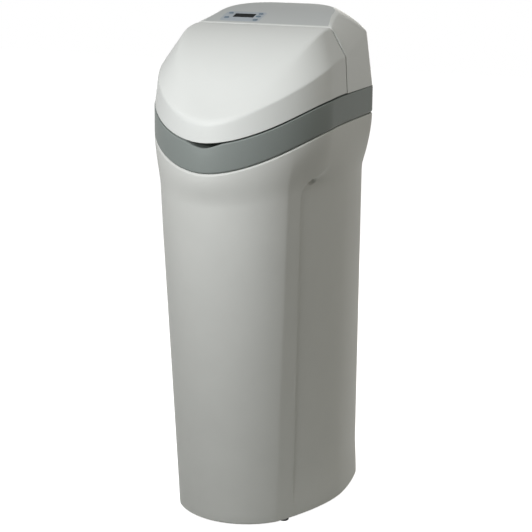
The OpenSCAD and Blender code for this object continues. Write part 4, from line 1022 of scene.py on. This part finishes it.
class SOFTENER_OT_salt_lid(bpy.types.Operator):
    """Builds the salt lid shell with its hinge bead"""

    bl_idname = "softener.salt_lid"
    bl_label = "Salt lid"

    ear_x = 112
    ear_w = 12
    run = 0.5
    slot_back = 6
    slot_spare = 13

    def top(self, skin, row, lid):
        """Rows straight across the top, from the last ring on the left to that on the right."""
        points = [np.array(skin.points[i]) for i in row]
        middle = len(row) // 2
        lines = []
        for i in range(middle):
            far = len(row) - 1 - i
            inner = span(points[i], points[far], lid.across)
            lines.append(np.concatenate([[row[i]], skin.add(inner), [row[far]]]))
        lines.append(np.full(len(lines[0]), row[middle]))
        for last, line in zip(lines, lines[1:]):
            skin.quads(last, line)
        return lines[0]

    def execute(self, context):
        sizes = context.scene.softener_sizes
        lid = Lid(Plan(sizes))
        skin = Skin()
        faces = []
        for thickness in (0, sizes.shell_wall / MM):
            rings = [mirrored(r) for r in lid.face(thickness)]
            rows = skin.lap(rings, closed_rings=False, closed_around=False)
            faces.append((rows, self.top(skin, rows[-1], lid)))
        (outer, outer_line), (inner, inner_line) = faces
        skin.quads(outer[0], inner[0])
        for end in (0, -1):
            skin.quads([r[end] for r in outer], [r[end] for r in inner])
        skin.quads(outer_line, inner_line)
        slots = []
        for side in (-1, 1):
            outline = rectangle(side * self.ear_x, lid.hinge_y + self.slot_back, self.ear_w + 2 * self.run,
                                2 * lid.bead_r + self.slot_spare)
            slots.append(prism(outline, lid.hinge_z - 2 * lid.bead_r, lid.hinge_z + 2 * lid.bead_r))
        data = cut(skin.mesh("salt_lid_shell"), slots)
        place_piece("salt_lid_shell", data, "salt_lid",
                    [shell_abs(context.scene.softener_colours)], ["salt_lid"], angle=50)
        return {"FINISHED"}


# Rear top cover


class Cover:
    """Rings of the rear top cover: base, crease, bulged bevel, top edge, panel recess and inner wall."""

    inset = 2
    lip_w = 10
    front_lip = 7
    seat_w = 3
    recess = 3.6
    lip_fall = 4
    fall_run = 40
    # The bevel's bulge, and where it grows behind the seam and towards the rear
    bulge = 5
    bulge_from, bulge_run = 1, 14
    rear_zone, rear_run = 85, 40
    crease_rise = 47
    edge_r = 1.2
    skirt_edge = 0.4
    base_lift = 0.3
    rear_in, crease_rear_in, top_rear_in = 3, 26, 62
    crease_r, top_r = 34, 118
    front_steps = 28
    side_steps = 28
    corner_steps = 28
    rear_steps = 14

    def __init__(self, plan, wall):
        self.plan = plan
        self.wall = wall

    def half(self, a, ar, rear, r, d, wall, edge):
        y = self.plan.seam_y + wall
        front = columns(np.linspace(0, a - d - edge, self.front_steps + 1), y)
        corner = arc(a - d - edge, y + edge, edge, -90, 0, 5)
        u = after(0, 1, self.side_steps)
        side = columns(mix(a, ar, u) - d, mix(y + edge, rear - r, u))
        turn = arc(ar - r, rear - r, r - d, 0, 90, self.corner_steps)
        back = columns(after(turn[-1][0], 0, self.rear_steps), rear - d)
        return np.vstack([front, corner, side, turn, back])

    def base(self, d, wall):
        plan = self.plan
        a = plan.half_w - self.inset
        half = self.half(a, a - plan.rear_draw + 1, plan.rear_y - self.inset, plan.rear_r, d, wall,
                         self.skirt_edge)
        return raise_to(whole(half), plan.rim_top_z + self.base_lift)

    def crease(self, d, wall):
        plan = self.plan
        rear = plan.rear_y - self.rear_in
        outline = whole(self.half(plan.half_w - plan.crease_in, plan.half_w - self.crease_rear_in, rear,
                                  self.crease_r, d, wall, self.skirt_edge))
        rise = self.crease_rise * (outline[:, 1] - plan.seam_y) / (rear - plan.seam_y)
        return raise_to(outline, plan.seam_z - plan.crease_drop + rise - 0.5 * d)

    def top_plan(self, d, wall):
        plan = self.plan
        return whole(self.half(plan.half_w - plan.top_in, plan.half_w - self.top_rear_in, plan.top_rear_y,
                               self.top_r, d, wall, self.edge_r))

    def top(self, d, wall, drop, share=0.0):
        """Ring on the crowned top, sunk square to the slope, at a share of the lip's outward fall."""
        plan = self.plan
        outline = self.top_plan(d, wall)
        s = plan.along(outline[:, 1])
        sunk = drop - plan.bump(s) + share * self.lip_fall * smooth(s / self.fall_run)
        square = np.array([0, math.sin(plan.slope), -math.cos(plan.slope)])
        return raise_to(outline, plan.panel_z(outline[:, 1])) + sunk[:, None] * square

    def bevel(self):
        """Rings between the crease and the top edge; the bevel bulges a little."""
        low, high = self.crease(0, 0), self.top(0, 0, 0, 1)
        half_way = mix(low, high, 0.5)
        behind = smooth((half_way[:, 1] - self.plan.seam_y - self.bulge_from) / self.bulge_run)
        pull = half_way.copy()
        pull[:, 0] *= 1 + mix(0.5, 1, behind) * 2 * self.bulge / (2 * self.plan.half_w)
        at_rear = smooth((half_way[:, 1] - self.plan.rear_y + self.rear_zone) / self.rear_run)
        pull[:, 1] += 0.8 * self.bulge * at_rear
        pull[:, 2] += 1.2 * self.bulge * mix(0.5, 1, behind)
        return bend(low, pull, high, 8)[1:-1]

    def rings(self):
        lip, seat = self.lip_w, self.lip_w + self.seat_w
        front, under = self.front_lip, self.recess + self.wall
        corners = [self.base(0, 0), self.crease(0, 0), *self.bevel(), self.top(0, 0, 0, 1)]
        edge = len(corners) - 1
        corners += [self.top(lip, front, 0), self.top(lip, front, self.recess),
                    self.top(seat, front + self.seat_w, self.recess),
                    self.top(seat, front + self.seat_w, under),
                    self.top(self.wall + 5, self.wall, under, 0.5),
                    self.crease(self.wall + 1.5, self.wall), self.base(self.wall, self.wall)]
        return rounded(corners, {0: 0.8, 1: 5.0, edge: 4.0, edge + 1: 0.9, edge + 2: 0.5}, True)


class SOFTENER_OT_top_cover(bpy.types.Operator):
    """Builds the rear top cover with its pipe opening and the two hinge ears"""

    bl_idname = "softener.top_cover"
    bl_label = "Top cover"

    opening_w = 186
    opening_top = 1079
    opening_r = 6
    below = 40
    arm_l = 6.5
    chamfer = 0.5

    def ears(self, lid):
        """Meshes of the two hinge ears: a barrel on an arm each."""
        ear = SOFTENER_OT_salt_lid
        r, w, c = lid.bead_r, ear.ear_w, self.chamfer
        for side in (-1, 1):
            barrel = lathe([(r - c, 0), (r, c), (r, w - c), (r - c, w)], 32)
            seat = Matrix.Translation(((side * ear.ear_x - w / 2) * MM, lid.hinge_y * MM, lid.hinge_z * MM))
            barrel.transform(seat @ Matrix.Rotation(math.pi / 2, 4, "Y"))
            yield barrel
            outline = rectangle(side * ear.ear_x, lid.hinge_y + self.arm_l / 2, w, self.arm_l)
            yield prism(outline, lid.hinge_z - r, lid.hinge_z + 1)

    def execute(self, context):
        sizes = context.scene.softener_sizes
        plan = Plan(sizes)
        skin = Skin()
        skin.lap(Cover(plan, sizes.shell_wall / MM).rings())
        low = plan.rim_top_z - self.below
        high = self.opening_top
        outline = rectangle(0, (low + high) / 2, self.opening_w, high - low, self.opening_r)
        stand = Matrix.Translation((0, (plan.rear_y + 20) * MM, 0)) @ Matrix.Rotation(math.pi / 2, 4, "X")
        data = cut(skin.mesh("top_cover_shell"), [prism(outline, 0, 80, stand)])
        work = bmesh.new()
        work.from_mesh(data)
        for part in self.ears(Lid(plan)):
            work.from_mesh(part)
        work.to_mesh(data)
        work.free()
        place_piece("top_cover_shell", data, "cabinet",
                    [bpy.data.materials["shell_abs"]], ["top_cover"], angle=40)
        return {"FINISHED"}


# Control panel


PANEL_TOP = -0.8
PANEL_T = 2.5
# Middle across, middle along the slope, width and height of the display
DISPLAY = (-71, 50, 54, 24)
KEY_W, KEY_H = 12, 8
KEY_S = 45
KEY_PLACES = {"select_button": (-111, 62), "set_button": (-111, 34), "up_button": (-33, 62),
              "down_button": (-33, 45), "recharge_button": (-33, 25)}


def panel_frame(plan):
    """Matrix from the flat panel's place, in metres, to the sloped one."""
    return Matrix.Translation((0, plan.seam_y * MM, plan.seam_z * MM)) @ Matrix.Rotation(plan.slope, 4, "X")


def key_frame(plan):
    """Matrix from the flat panel to the plane that touches the crowned panel amid the keys."""
    tilt = math.asin((plan.panel_len / 2 - KEY_S) / plan.crown_r)
    touch = Matrix.Translation((0, KEY_S * MM, float(plan.bump(KEY_S)) * MM))
    return panel_frame(plan) @ touch @ Matrix.Rotation(tilt, 4, "X") @ Matrix.Translation((0, -KEY_S * MM, 0))


def crowned(data, plan, step):
    """The flat plate, cut across at every step and raised along the panel's crown."""
    work = bmesh.new()
    work.from_mesh(data)
    for s in np.arange(step, plan.panel_len, step):
        parts = work.verts[:] + work.edges[:] + work.faces[:]
        bmesh.ops.bisect_plane(work, geom=parts, plane_co=(0, s * MM, 0), plane_no=(0, 1, 0))
    for vert in work.verts:
        vert.co.z += float(plan.bump(vert.co.y / MM)) * MM
    work.to_mesh(data)
    work.free()
    return data


def pill(cx, cy, w, h, d=0.0, steps=16):
    """Plan outline of a key with round ends, inset d."""
    r = h / 2 - d
    reach = (w - h) / 2
    return np.vstack([round_points(cx + reach, cy, r, -90, 90, steps),
                      round_points(cx - reach, cy, r, 90, 270, steps)])


class SOFTENER_OT_control_panel(bpy.types.Operator):
    """Builds the faceplate with its cut-outs and the dark display behind the window"""

    bl_idname = "softener.control_panel"
    bl_label = "Control panel"

    clearance = 0.3
    key_gap = 0.5
    cut_from, cut_to = -12, 6
    cell_from, cell_to = -5.4, -4.7
    cell_less = 7
    crown_step = 6

    def execute(self, context):
        sizes = context.scene.softener_sizes
        plan = Plan(sizes)
        cover = Cover(plan, sizes.shell_wall / MM)
        ring = cover.top_plan(cover.lip_w + self.clearance, cover.front_lip + self.clearance)
        plate = prism(columns(ring[:, 0], plan.along(ring[:, 1])), PANEL_TOP - PANEL_T, PANEL_TOP)
        x, s, w, h = DISPLAY
        outlines = [rectangle(x, s, w, h, 1.5)]
        for cx, cy in KEY_PLACES.values():
            outlines.append(pill(cx, cy, KEY_W + 2 * self.key_gap, KEY_H + 2 * self.key_gap))
        data = cut(plate, [prism(outline, self.cut_from, self.cut_to) for outline in outlines])
        data = crowned(bevelled(data, 0.35), plan, self.crown_step)
        data.transform(panel_frame(plan))
        film = panel_film(context.scene.softener_colours, plan)
        place_piece("faceplate_film", data, "cabinet", [film], ["faceplate"], angle=20)

        outline = rectangle(x, s, w - self.cell_less, h - self.cell_less, 0.6)
        cell = bevelled(prism(outline, self.cell_from, self.cell_to), 0.2)
        cell.transform(key_frame(plan))
        place_piece("display_cell", cell, "cabinet", [display_glass(plan)], angle=40)
        return {"FINISHED"}


def key_symbol(name):
    """Plan outlines of the plain symbol on a key, centred."""
    if name == "up_button":
        return [np.array([[-1.6, -1.1], [1.6, -1.1], [0, 1.5]])]
    if name == "down_button":
        return [np.array([[-1.6, 1.1], [0, -1.5], [1.6, 1.1]])]
    if name == "select_button":
        return [rectangle(0, v, 3.6, 0.7) for v in (-0.9, 0.9)]
    if name == "set_button":
        return [rectangle(0, 0, 2.2, 2.2, 1.05)]
    outer, inner = (round_points(0, 0, r, 40, 320, 19) for r in (1.9, 1.3))
    return [np.vstack([outer, inner[::-1]]), np.array([[0.6, -1.0], [2.4, -1.0], [1.5, 0.5]])]


class SOFTENER_OT_keys(bpy.types.Operator):
    """Builds the five push buttons, each with a printed symbol"""

    bl_idname = "softener.keys"
    bl_label = "Keys"

    flange_z = -5.8
    shoulder_z = -3.8
    top_z = 0.6
    flange = 1.0
    top_r = 1.1
    ink_from, ink_to = 0.05, 0.03

    def execute(self, context):
        plan = Plan(context.scene.softener_sizes)
        lay = key_frame(plan)
        materials = [key_rubber(context.scene.softener_colours), key_ink()]
        r, top = self.top_r, self.top_z
        profile = [(-self.flange, self.flange_z), (-self.flange, self.shoulder_z), (0, self.shoulder_z),
                   (0, top - r)]
        profile += [(r * (1 - math.cos(t)), top - r + r * math.sin(t)) for t in after(0, math.pi / 2, 6)]
        for name, (cx, cy) in KEY_PLACES.items():
            skin = Skin()
            skin.solid([raise_to(pill(cx, cy, KEY_W, KEY_H, d), z) for d, z in profile])
            for outline in key_symbol(name):
                flat = outline + np.array([cx, cy])
                skin.solid([raise_to(flat, top - self.ink_from), raise_to(flat, top + self.ink_to)], 1)
            data = skin.mesh(name + "_cap")
            sag = plan.crown_r - math.sqrt(plan.crown_r ** 2 - (cy - KEY_S) ** 2)
            data.transform(lay @ Matrix.Translation((0, 0, -sag * MM)))
            place_piece(name + "_cap", data, name, materials, [name], angle=40)
        return {"FINISHED"}


# Repeated and swept pieces, made with Geometry Nodes


def new_tree(name, inputs):
    """A geometry tree with named inputs; returns it with the outputs of its input node."""
    tree = bpy.data.node_groups.new(name, "GeometryNodeTree")
    tree.interface.new_socket("Geometry", in_out="INPUT", socket_type="NodeSocketGeometry")
    for label, kind in inputs.items():
        tree.interface.new_socket(label, in_out="INPUT", socket_type="NodeSocket" + kind)
    tree.interface.new_socket("Geometry", in_out="OUTPUT", socket_type="NodeSocketGeometry")
    return tree, add(tree, "NodeGroupInput").outputs


def close_tree(tree, shape, material):
    """Ends a tree in realized geometry with its material."""
    real = add(tree, "GeometryNodeRealizeInstances", {"Geometry": shape})
    done = add(tree, "GeometryNodeSetMaterial", {"Geometry": real.outputs[0], "Material": material})
    add(tree, "NodeGroupOutput", {0: done.outputs[0]})
    return tree


def grown(name, data, tree, values):
    """Runs a tree on a mesh with its inputs set by name, and returns a plain mesh."""
    carrier = linked(name + "_carrier", data)
    modifier = carrier.modifiers.new("shape", "NODES")
    modifier.node_group = tree
    keys = {item.name: item.identifier for item in tree.interface.items_tree if item.in_out == "INPUT"}
    for label, value in values.items():
        modifier[keys[label]] = value
    carrier.update_tag()
    result = evaluated(carrier)
    result.name = name
    return result


def lifted(tree, shape, z):
    """A shape moved up by a value."""
    up = add(tree, "ShaderNodeCombineXYZ", {"Z": z}).outputs[0]
    return add(tree, "GeometryNodeTransform", {"Geometry": shape, "Translation": up}).outputs[0]


def screw_tree():
    """Pan-head screws with a cross recess, one on each point, all turned the same way."""
    tree, given = new_tree("screw_set", {
        "Head Radius": "Float", "Head Height": "Float", "Shank Radius": "Float", "Shank Length": "Float",
        "Turn": "Rotation", "Material": "Material"})
    head_r, head_h, shank_l = (given[key] for key in ("Head Radius", "Head Height", "Shank Length"))
    head = add(tree, "GeometryNodeMeshCylinder", {"Vertices": 24, "Radius": head_r, "Depth": head_h})
    slot_l, slot_w = (maths(tree, "MULTIPLY", head_r, share) for share in (1.1, 0.24))
    cutter = add(tree, "GeometryNodeMeshBoolean", {"Mesh 1": head.outputs["Mesh"]}, operation="DIFFERENCE")
    for x, y in ((slot_l, slot_w), (slot_w, slot_l)):
        size = add(tree, "ShaderNodeCombineXYZ", {"X": x, "Y": y, "Z": head_h}).outputs[0]
        bar = add(tree, "GeometryNodeMeshCube", {"Size": size}).outputs[0]
        tree.links.new(lifted(tree, bar, head_h), cutter.inputs["Mesh 2"])
    seated = lifted(tree, cutter.outputs[0], maths(tree, "MULTIPLY", head_h, 0.5))
    shank = add(tree, "GeometryNodeMeshCylinder", {
        "Vertices": 16, "Radius": given["Shank Radius"], "Depth": shank_l}).outputs["Mesh"]
    driven = lifted(tree, shank, maths(tree, "MULTIPLY", shank_l, -0.5))
    screw = add(tree, "GeometryNodeJoinGeometry")
    for piece in (seated, driven):
        tree.links.new(piece, screw.inputs[0])
    spread = add(tree, "GeometryNodeInstanceOnPoints", {
        "Points": given["Geometry"], "Instance": screw.outputs[0], "Rotation": given["Turn"]})
    return close_tree(tree, spread.outputs[0], given["Material"])


def points_mesh(name, places):
    """A mesh of loose points, given in metres."""
    data = bpy.data.meshes.new(name)
    data.from_pydata([tuple(p) for p in places], [], [])
    return data


def islands(node):
    """Boxes of the separate solids of a CAD node, as lowest and highest corners."""
    work = bmesh.new()
    work.from_mesh(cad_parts[node].data)
    bmesh.ops.remove_doubles(work, verts=work.verts, dist=1e-6)
    found, seen = [], set()
    for vert in work.verts:
        if vert in seen:
            continue
        group, wait = [], [vert]
        seen.add(vert)
        while wait:
            here = wait.pop()
            group.append(here.co.copy())
            for edge in here.link_edges:
                other = edge.other_vert(here)
                if other not in seen:
                    seen.add(other)
                    wait.append(other)
        spots = np.array(group)
        found.append((Vector(spots.min(0)), Vector(spots.max(0))))
    work.free()
    return found


def middles(boxes, heights):
    """Middles of boxes in plan, each with its own height."""
    return [((a.x + b.x) / 2, (a.y + b.y) / 2, z) for (a, b), z in zip(boxes, heights)]


class SOFTENER_OT_screws(bpy.types.Operator):
    """Sets cross-head screws in the valve cover, motor plate, motor and control board"""

    bl_idname = "softener.screws"
    bl_label = "Screws"

    # Head radius, head height and shank radius of each set, in millimetres
    upright = {"valve_cover_screws": (4.0, 2.4, 1.8), "plate_screws": (3.5, 2.2, 1.55)}
    motor = (3, 2, 1.55)
    board = (2.75, 2, 1.2)
    board_shank = 0.007
    board_back = 0.0025

    def execute(self, context):
        tree = screw_tree()
        metal = zinc_steel()
        for node, sizes in self.upright.items():
            boxes = islands(node)
            head_h = sizes[1] * MM
            length = boxes[0][1].z - boxes[0][0].z - head_h
            places = middles(boxes, [b.z - head_h for _, b in boxes])
            self.spread(node, tree, metal, places, sizes, length, 0.0)
        boxes = islands("motor_screws")
        head_h = self.motor[1] * MM
        length = boxes[0][1].z - boxes[0][0].z - head_h
        places = middles(boxes, [a.z + head_h for a, _ in boxes])
        self.spread("motor_screws", tree, metal, places, self.motor, length, math.pi)
        slope = context.scene.softener_sizes.panel_slope
        lean = Vector((0, -math.sin(slope), math.cos(slope)))
        places = [(a + b) / 2 - lean * self.board_back for a, b in islands("board_screws")]
        self.spread("board_screws", tree, metal, places, self.board, self.board_shank, math.pi + slope)
        return {"FINISHED"}

    def spread(self, node, tree, metal, places, sizes, length, turn):
        head_r, head_h, shank_r = (v * MM for v in sizes)
        data = grown(node + "_set", points_mesh(node, places), tree, {
            "Head Radius": head_r, "Head Height": head_h, "Shank Radius": shank_r, "Shank Length": length,
            "Turn": (turn, 0.0, 0.0), "Material": metal})
        place_piece(node + "_set", data, "cabinet", [metal], [node], angle=35)


def tube_tree():
    """A round tube along the edges of a mesh."""
    tree, given = new_tree("tube_on_path", {"Radius": "Float", "Material": "Material"})
    path = add(tree, "GeometryNodeMeshToCurve", {"Mesh": given["Geometry"]})
    ring = add(tree, "GeometryNodeCurvePrimitiveCircle", {"Resolution": 24, "Radius": given["Radius"]})
    tube = add(tree, "GeometryNodeCurveToMesh", {
        "Curve": path.outputs[0], "Profile Curve": ring.outputs["Curve"], "Fill Caps": True})
    return close_tree(tree, tube.outputs[0], given["Material"])


class SOFTENER_OT_brine_tube(bpy.types.Operator):
    """Runs the brine tube from the brine valve up to the venturi in one easy double bend"""

    bl_idname = "softener.brine_tube"
    bl_label = "Brine tube"

    tube_r = 4.75
    bend_h = 133
    straight_top = 15
    steps = 40

    def execute(self, context):
        low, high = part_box("brine_tube")
        radius = self.tube_r * MM
        start = Vector((low.x + radius, low.y + radius, low.z))
        end = Vector((high.x - radius, high.y - radius, high.z))
        bend_to = end.z - self.straight_top * MM
        bend_from = bend_to - self.bend_h * MM
        path = [start]
        for u in np.linspace(0, 1, self.steps + 1):
            share = float(smooth(u))
            x, y = mix(start.x, end.x, share), mix(start.y, end.y, share)
            path.append(Vector((x, y, mix(bend_from, bend_to, u))))
        path.append(end)
        data = bpy.data.meshes.new("tube_path")
        data.from_pydata(path, [(i, i + 1) for i in range(len(path) - 1)], [])
        hose = brine_hose_polyethylene()
        made = grown("brine_tube_run", data, tube_tree(), {"Radius": radius, "Material": hose})
        place_piece("brine_tube_run", made, "cabinet", [hose], ["brine_tube"], angle=50)
        return {"FINISHED"}


def foot_tree():
    """One foot shape on each point."""
    tree, given = new_tree("foot_set", {"Foot": "Object", "Material": "Material"})
    shape = add(tree, "GeometryNodeObjectInfo", {"Object": given["Foot"]})
    spread = add(tree, "GeometryNodeInstanceOnPoints", {
        "Points": given["Geometry"], "Instance": shape.outputs["Geometry"]})
    return close_tree(tree, spread.outputs[0], given["Material"])


class SOFTENER_OT_feet(bpy.types.Operator):
    """Sets four rubber feet with rounded edges and a grooved tread under the cabinet"""

    bl_idname = "softener.feet"
    bl_label = "Feet"

    foot_r = 13
    foot_h = 6

    def execute(self, context):
        r, h = self.foot_r, self.foot_h
        profile = [(4, 0.8), (5, 0.8), (5.4, 0), (7.4, 0), (7.8, 0.8), (9, 0.8), (9.4, 0), (r - 2.6, 0),
                   (r - 1.9, 0.3), (r - 1.5, 1), (r - 0.2, h - 0.8), (r - 0.1, h - 0.2), (r - 0.5, h)]
        shape = linked("foot_shape", lathe(profile, 40))
        boxes = islands("feet")
        points = points_mesh("feet_points", middles(boxes, [a.z for a, _ in boxes]))
        rubber = foot_rubber()
        data = grown("feet_set", points, foot_tree(), {"Foot": shape, "Material": rubber})
        bpy.data.objects.remove(shape)
        place_piece("feet_set", data, "cabinet", [rubber], ["feet"], angle=35)
        return {"FINISHED"}


# Inner works: CAD solids keep their shape and get their finish


class SOFTENER_OT_inner_works(bpy.types.Operator):
    """Gives every CAD solid that stays its own finish"""

    bl_idname = "softener.inner_works"
    bl_label = "Inner works"

    def execute(self, context):
        metal, rubber = bpy.data.materials["zinc_steel"], bpy.data.materials["foot_rubber"]
        finishes = {
            metal: ["lid_hinge_pins", "clamp_retainer", "wave_washer", "motor_plate", "drive_motor",
                    "adaptor_clips"],
            rubber: ["tank_o_ring", "rotor_seal", "venturi_gasket", "adaptor_o_rings", "overflow_grommet",
                     "position_switch", "display_module"],
            glass_filled_black(): ["valve_body", "valve_cover", "neck_clamps", "venturi_housing",
                                   "venturi_cap", "drain_elbow", "brine_valve"],
            natural_polypropylene(): ["riser_tube", "bottom_distributor", "top_distributor", "rotor_disc",
                                      "drive_gear", "motor_pinion", "nozzle_venturi", "turbine_support",
                                      "brinewell", "brinewell_cap", "float_stem", "float_guide"],
            wound_shell(context.scene.softener_colours): ["resin_tank"],
            smoked_window(): ["display_window"],
            circuit_board(): ["control_board"],
            turbine_acetal(): ["turbine_wheel"],
            float_foam(): ["brine_float"],
            adaptor_noryl(): ["inlet_adaptor", "outlet_adaptor"],
        }
        for material, nodes in finishes.items():
            for node in nodes:
                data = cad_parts[node].data
                data.materials.clear()
                data.materials.append(material)
        return {"FINISHED"}


# Stage


class SOFTENER_OT_stage(bpy.types.Operator):
    """Sets the floor, the soft studio light and the camera at the photograph's angle"""

    bl_idname = "softener.stage"
    bl_label = "Stage"

    azimuth, elevation, roll = 24.12, 15.07, 0.34
    distance = 3.534
    target = Vector((0, 0.009, 0.530))
    lens = 98.8
    sensor = 36
    shift = (0.0231, 0.0461)
    floor_reach = 9.0

    def light(self, name, place, aim, size, power, colour):
        data = bpy.data.lights.new(name, "AREA")
        data.shape = "DISK"
        data.size = size
        data.energy = power
        data.color = linear(colour)
        lamp = linked(name, data)
        lamp.location = place
        lamp.rotation_mode = "QUATERNION"
        lamp.rotation_quaternion = (Vector(aim) - Vector(place)).to_track_quat("-Z", "Y")

    def white_to_camera(self, tree, seen, other):
        """Mixes what the camera, gloss and glass see with what other rays see."""
        path = add(tree, "ShaderNodeLightPath").outputs
        first = maths(tree, "MAXIMUM", path["Is Camera Ray"], path["Is Glossy Ray"])
        both = maths(tree, "MAXIMUM", first, path["Is Transmission Ray"])
        return add(tree, "ShaderNodeMixShader", {0: both, 1: other.outputs[0], 2: seen.outputs[0]}).outputs[0]

    def world(self, scene):
        world = bpy.data.worlds.new("studio")
        world.use_nodes = True
        tree = world.node_tree
        tree.nodes.clear()
        seen = add(tree, "ShaderNodeBackground", {"Color": rgba("#ffffff"), "Strength": 1.0})
        other = add(tree, "ShaderNodeBackground", {"Color": rgba("#f6f5ee"), "Strength": 0.15})
        add(tree, "ShaderNodeOutputWorld", {"Surface": self.white_to_camera(tree, seen, other)})
        scene.world = world

    def floor(self):
        material, tree, _ = start_material("studio_floor")
        plain = add(tree, "ShaderNodeBsdfDiffuse", {"Color": rgba("#b9bab6")})
        glow = add(tree, "ShaderNodeEmission", {"Color": rgba("#ffffff"), "Strength": 0.96})
        lit = add(tree, "ShaderNodeBsdfDiffuse", {"Color": rgba("#f4f4f2")})
        white = add(tree, "ShaderNodeAddShader", {0: glow.outputs[0], 1: lit.outputs[0]})
        add(tree, "ShaderNodeOutputMaterial", {"Surface": self.white_to_camera(tree, white, plain)})
        data = bpy.data.meshes.new("studio_floor")
        r = self.floor_reach
        data.from_pydata([(-r, -r, 0), (r, -r, 0), (r, r, 0), (-r, r, 0)], [], [(0, 1, 2, 3)])
        data.materials.append(material)
        linked("studio_floor", data)

    def camera(self, scene):
        a, e, r = (math.radians(v) for v in (self.azimuth, self.elevation, self.roll))
        back = Vector((math.sin(a) * math.cos(e), -math.cos(a) * math.cos(e), math.sin(e)))
        right = Vector((math.cos(a), math.sin(a), 0))
        up = back.cross(right)
        turned = (right * math.cos(r) + up * math.sin(r), up * math.cos(r) - right * math.sin(r), back)
        data = bpy.data.cameras.new("photo_camera")
        data.lens = self.lens
        data.sensor_width = self.sensor
        data.shift_x, data.shift_y = self.shift
        data.clip_end = 100
        camera = linked("photo_camera", data)
        stand = Matrix.Translation(self.target + back * self.distance)
        camera.matrix_world = stand @ Matrix(turned).transposed().to_4x4()
        scene.camera = camera

    def execute(self, context):
        scene = context.scene
        scene.view_settings.view_transform = "Standard"
        self.camera(scene)
        self.world(scene)
        self.floor()
        self.light("key_light", (-0.2, -1.4, 1.6), (0, 0, 0.8), 0.8, 20.5, "#fcfdff")
        self.light("top_light", (0.9, -0.4, 2.8), (0, 0, 1.0), 1.2, 8, "#fffefa")
        self.light("side_fill", (2.2, 1.4, 1.2), (0.2, 0.1, 0.6), 1.2, 6.3, "#fff8ea")
        self.light("rear_fill", (-0.4, 2.6, 1.3), (0, 0.2, 0.6), 1.2, 10, "#fffaf0")
        return {"FINISHED"}


OPERATORS = [SOFTENER_OT_cabinet, SOFTENER_OT_rim, SOFTENER_OT_salt_lid, SOFTENER_OT_top_cover,
             SOFTENER_OT_control_panel, SOFTENER_OT_keys, SOFTENER_OT_feet, SOFTENER_OT_screws,
             SOFTENER_OT_brine_tube, SOFTENER_OT_inner_works, SOFTENER_OT_stage]


class SOFTENER_PT_panel(bpy.types.Panel):
    """Lists the softener's sizes, colours and steps"""

    bl_idname = "SOFTENER_PT_panel"
    bl_label = "Water softener"
    bl_space_type = "VIEW_3D"
    bl_region_type = "UI"
    bl_category = "Softener"

    def draw(self, context):
        for group in (context.scene.softener_sizes, context.scene.softener_colours):
            column = self.layout.column()
            for key in group.__annotations__:
                column.prop(group, key)
        for operator in OPERATORS:
            self.layout.operator(operator.bl_idname)


CLASSES = [SoftenerSizes, SoftenerColours, *OPERATORS, SOFTENER_PT_panel]


def register():
    for item in CLASSES:
        bpy.utils.register_class(item)
    bpy.types.Scene.softener_sizes = PointerProperty(type=SoftenerSizes)
    bpy.types.Scene.softener_colours = PointerProperty(type=SoftenerColours)


def unregister():
    del bpy.types.Scene.softener_colours
    del bpy.types.Scene.softener_sizes
    for item in reversed(CLASSES):
        bpy.utils.unregister_class(item)


def main():
    register()
    for operator in OPERATORS:
        group, name = operator.bl_idname.split(".")
        getattr(getattr(bpy.ops, group), name)()


if __name__ == "__main__":
    main()
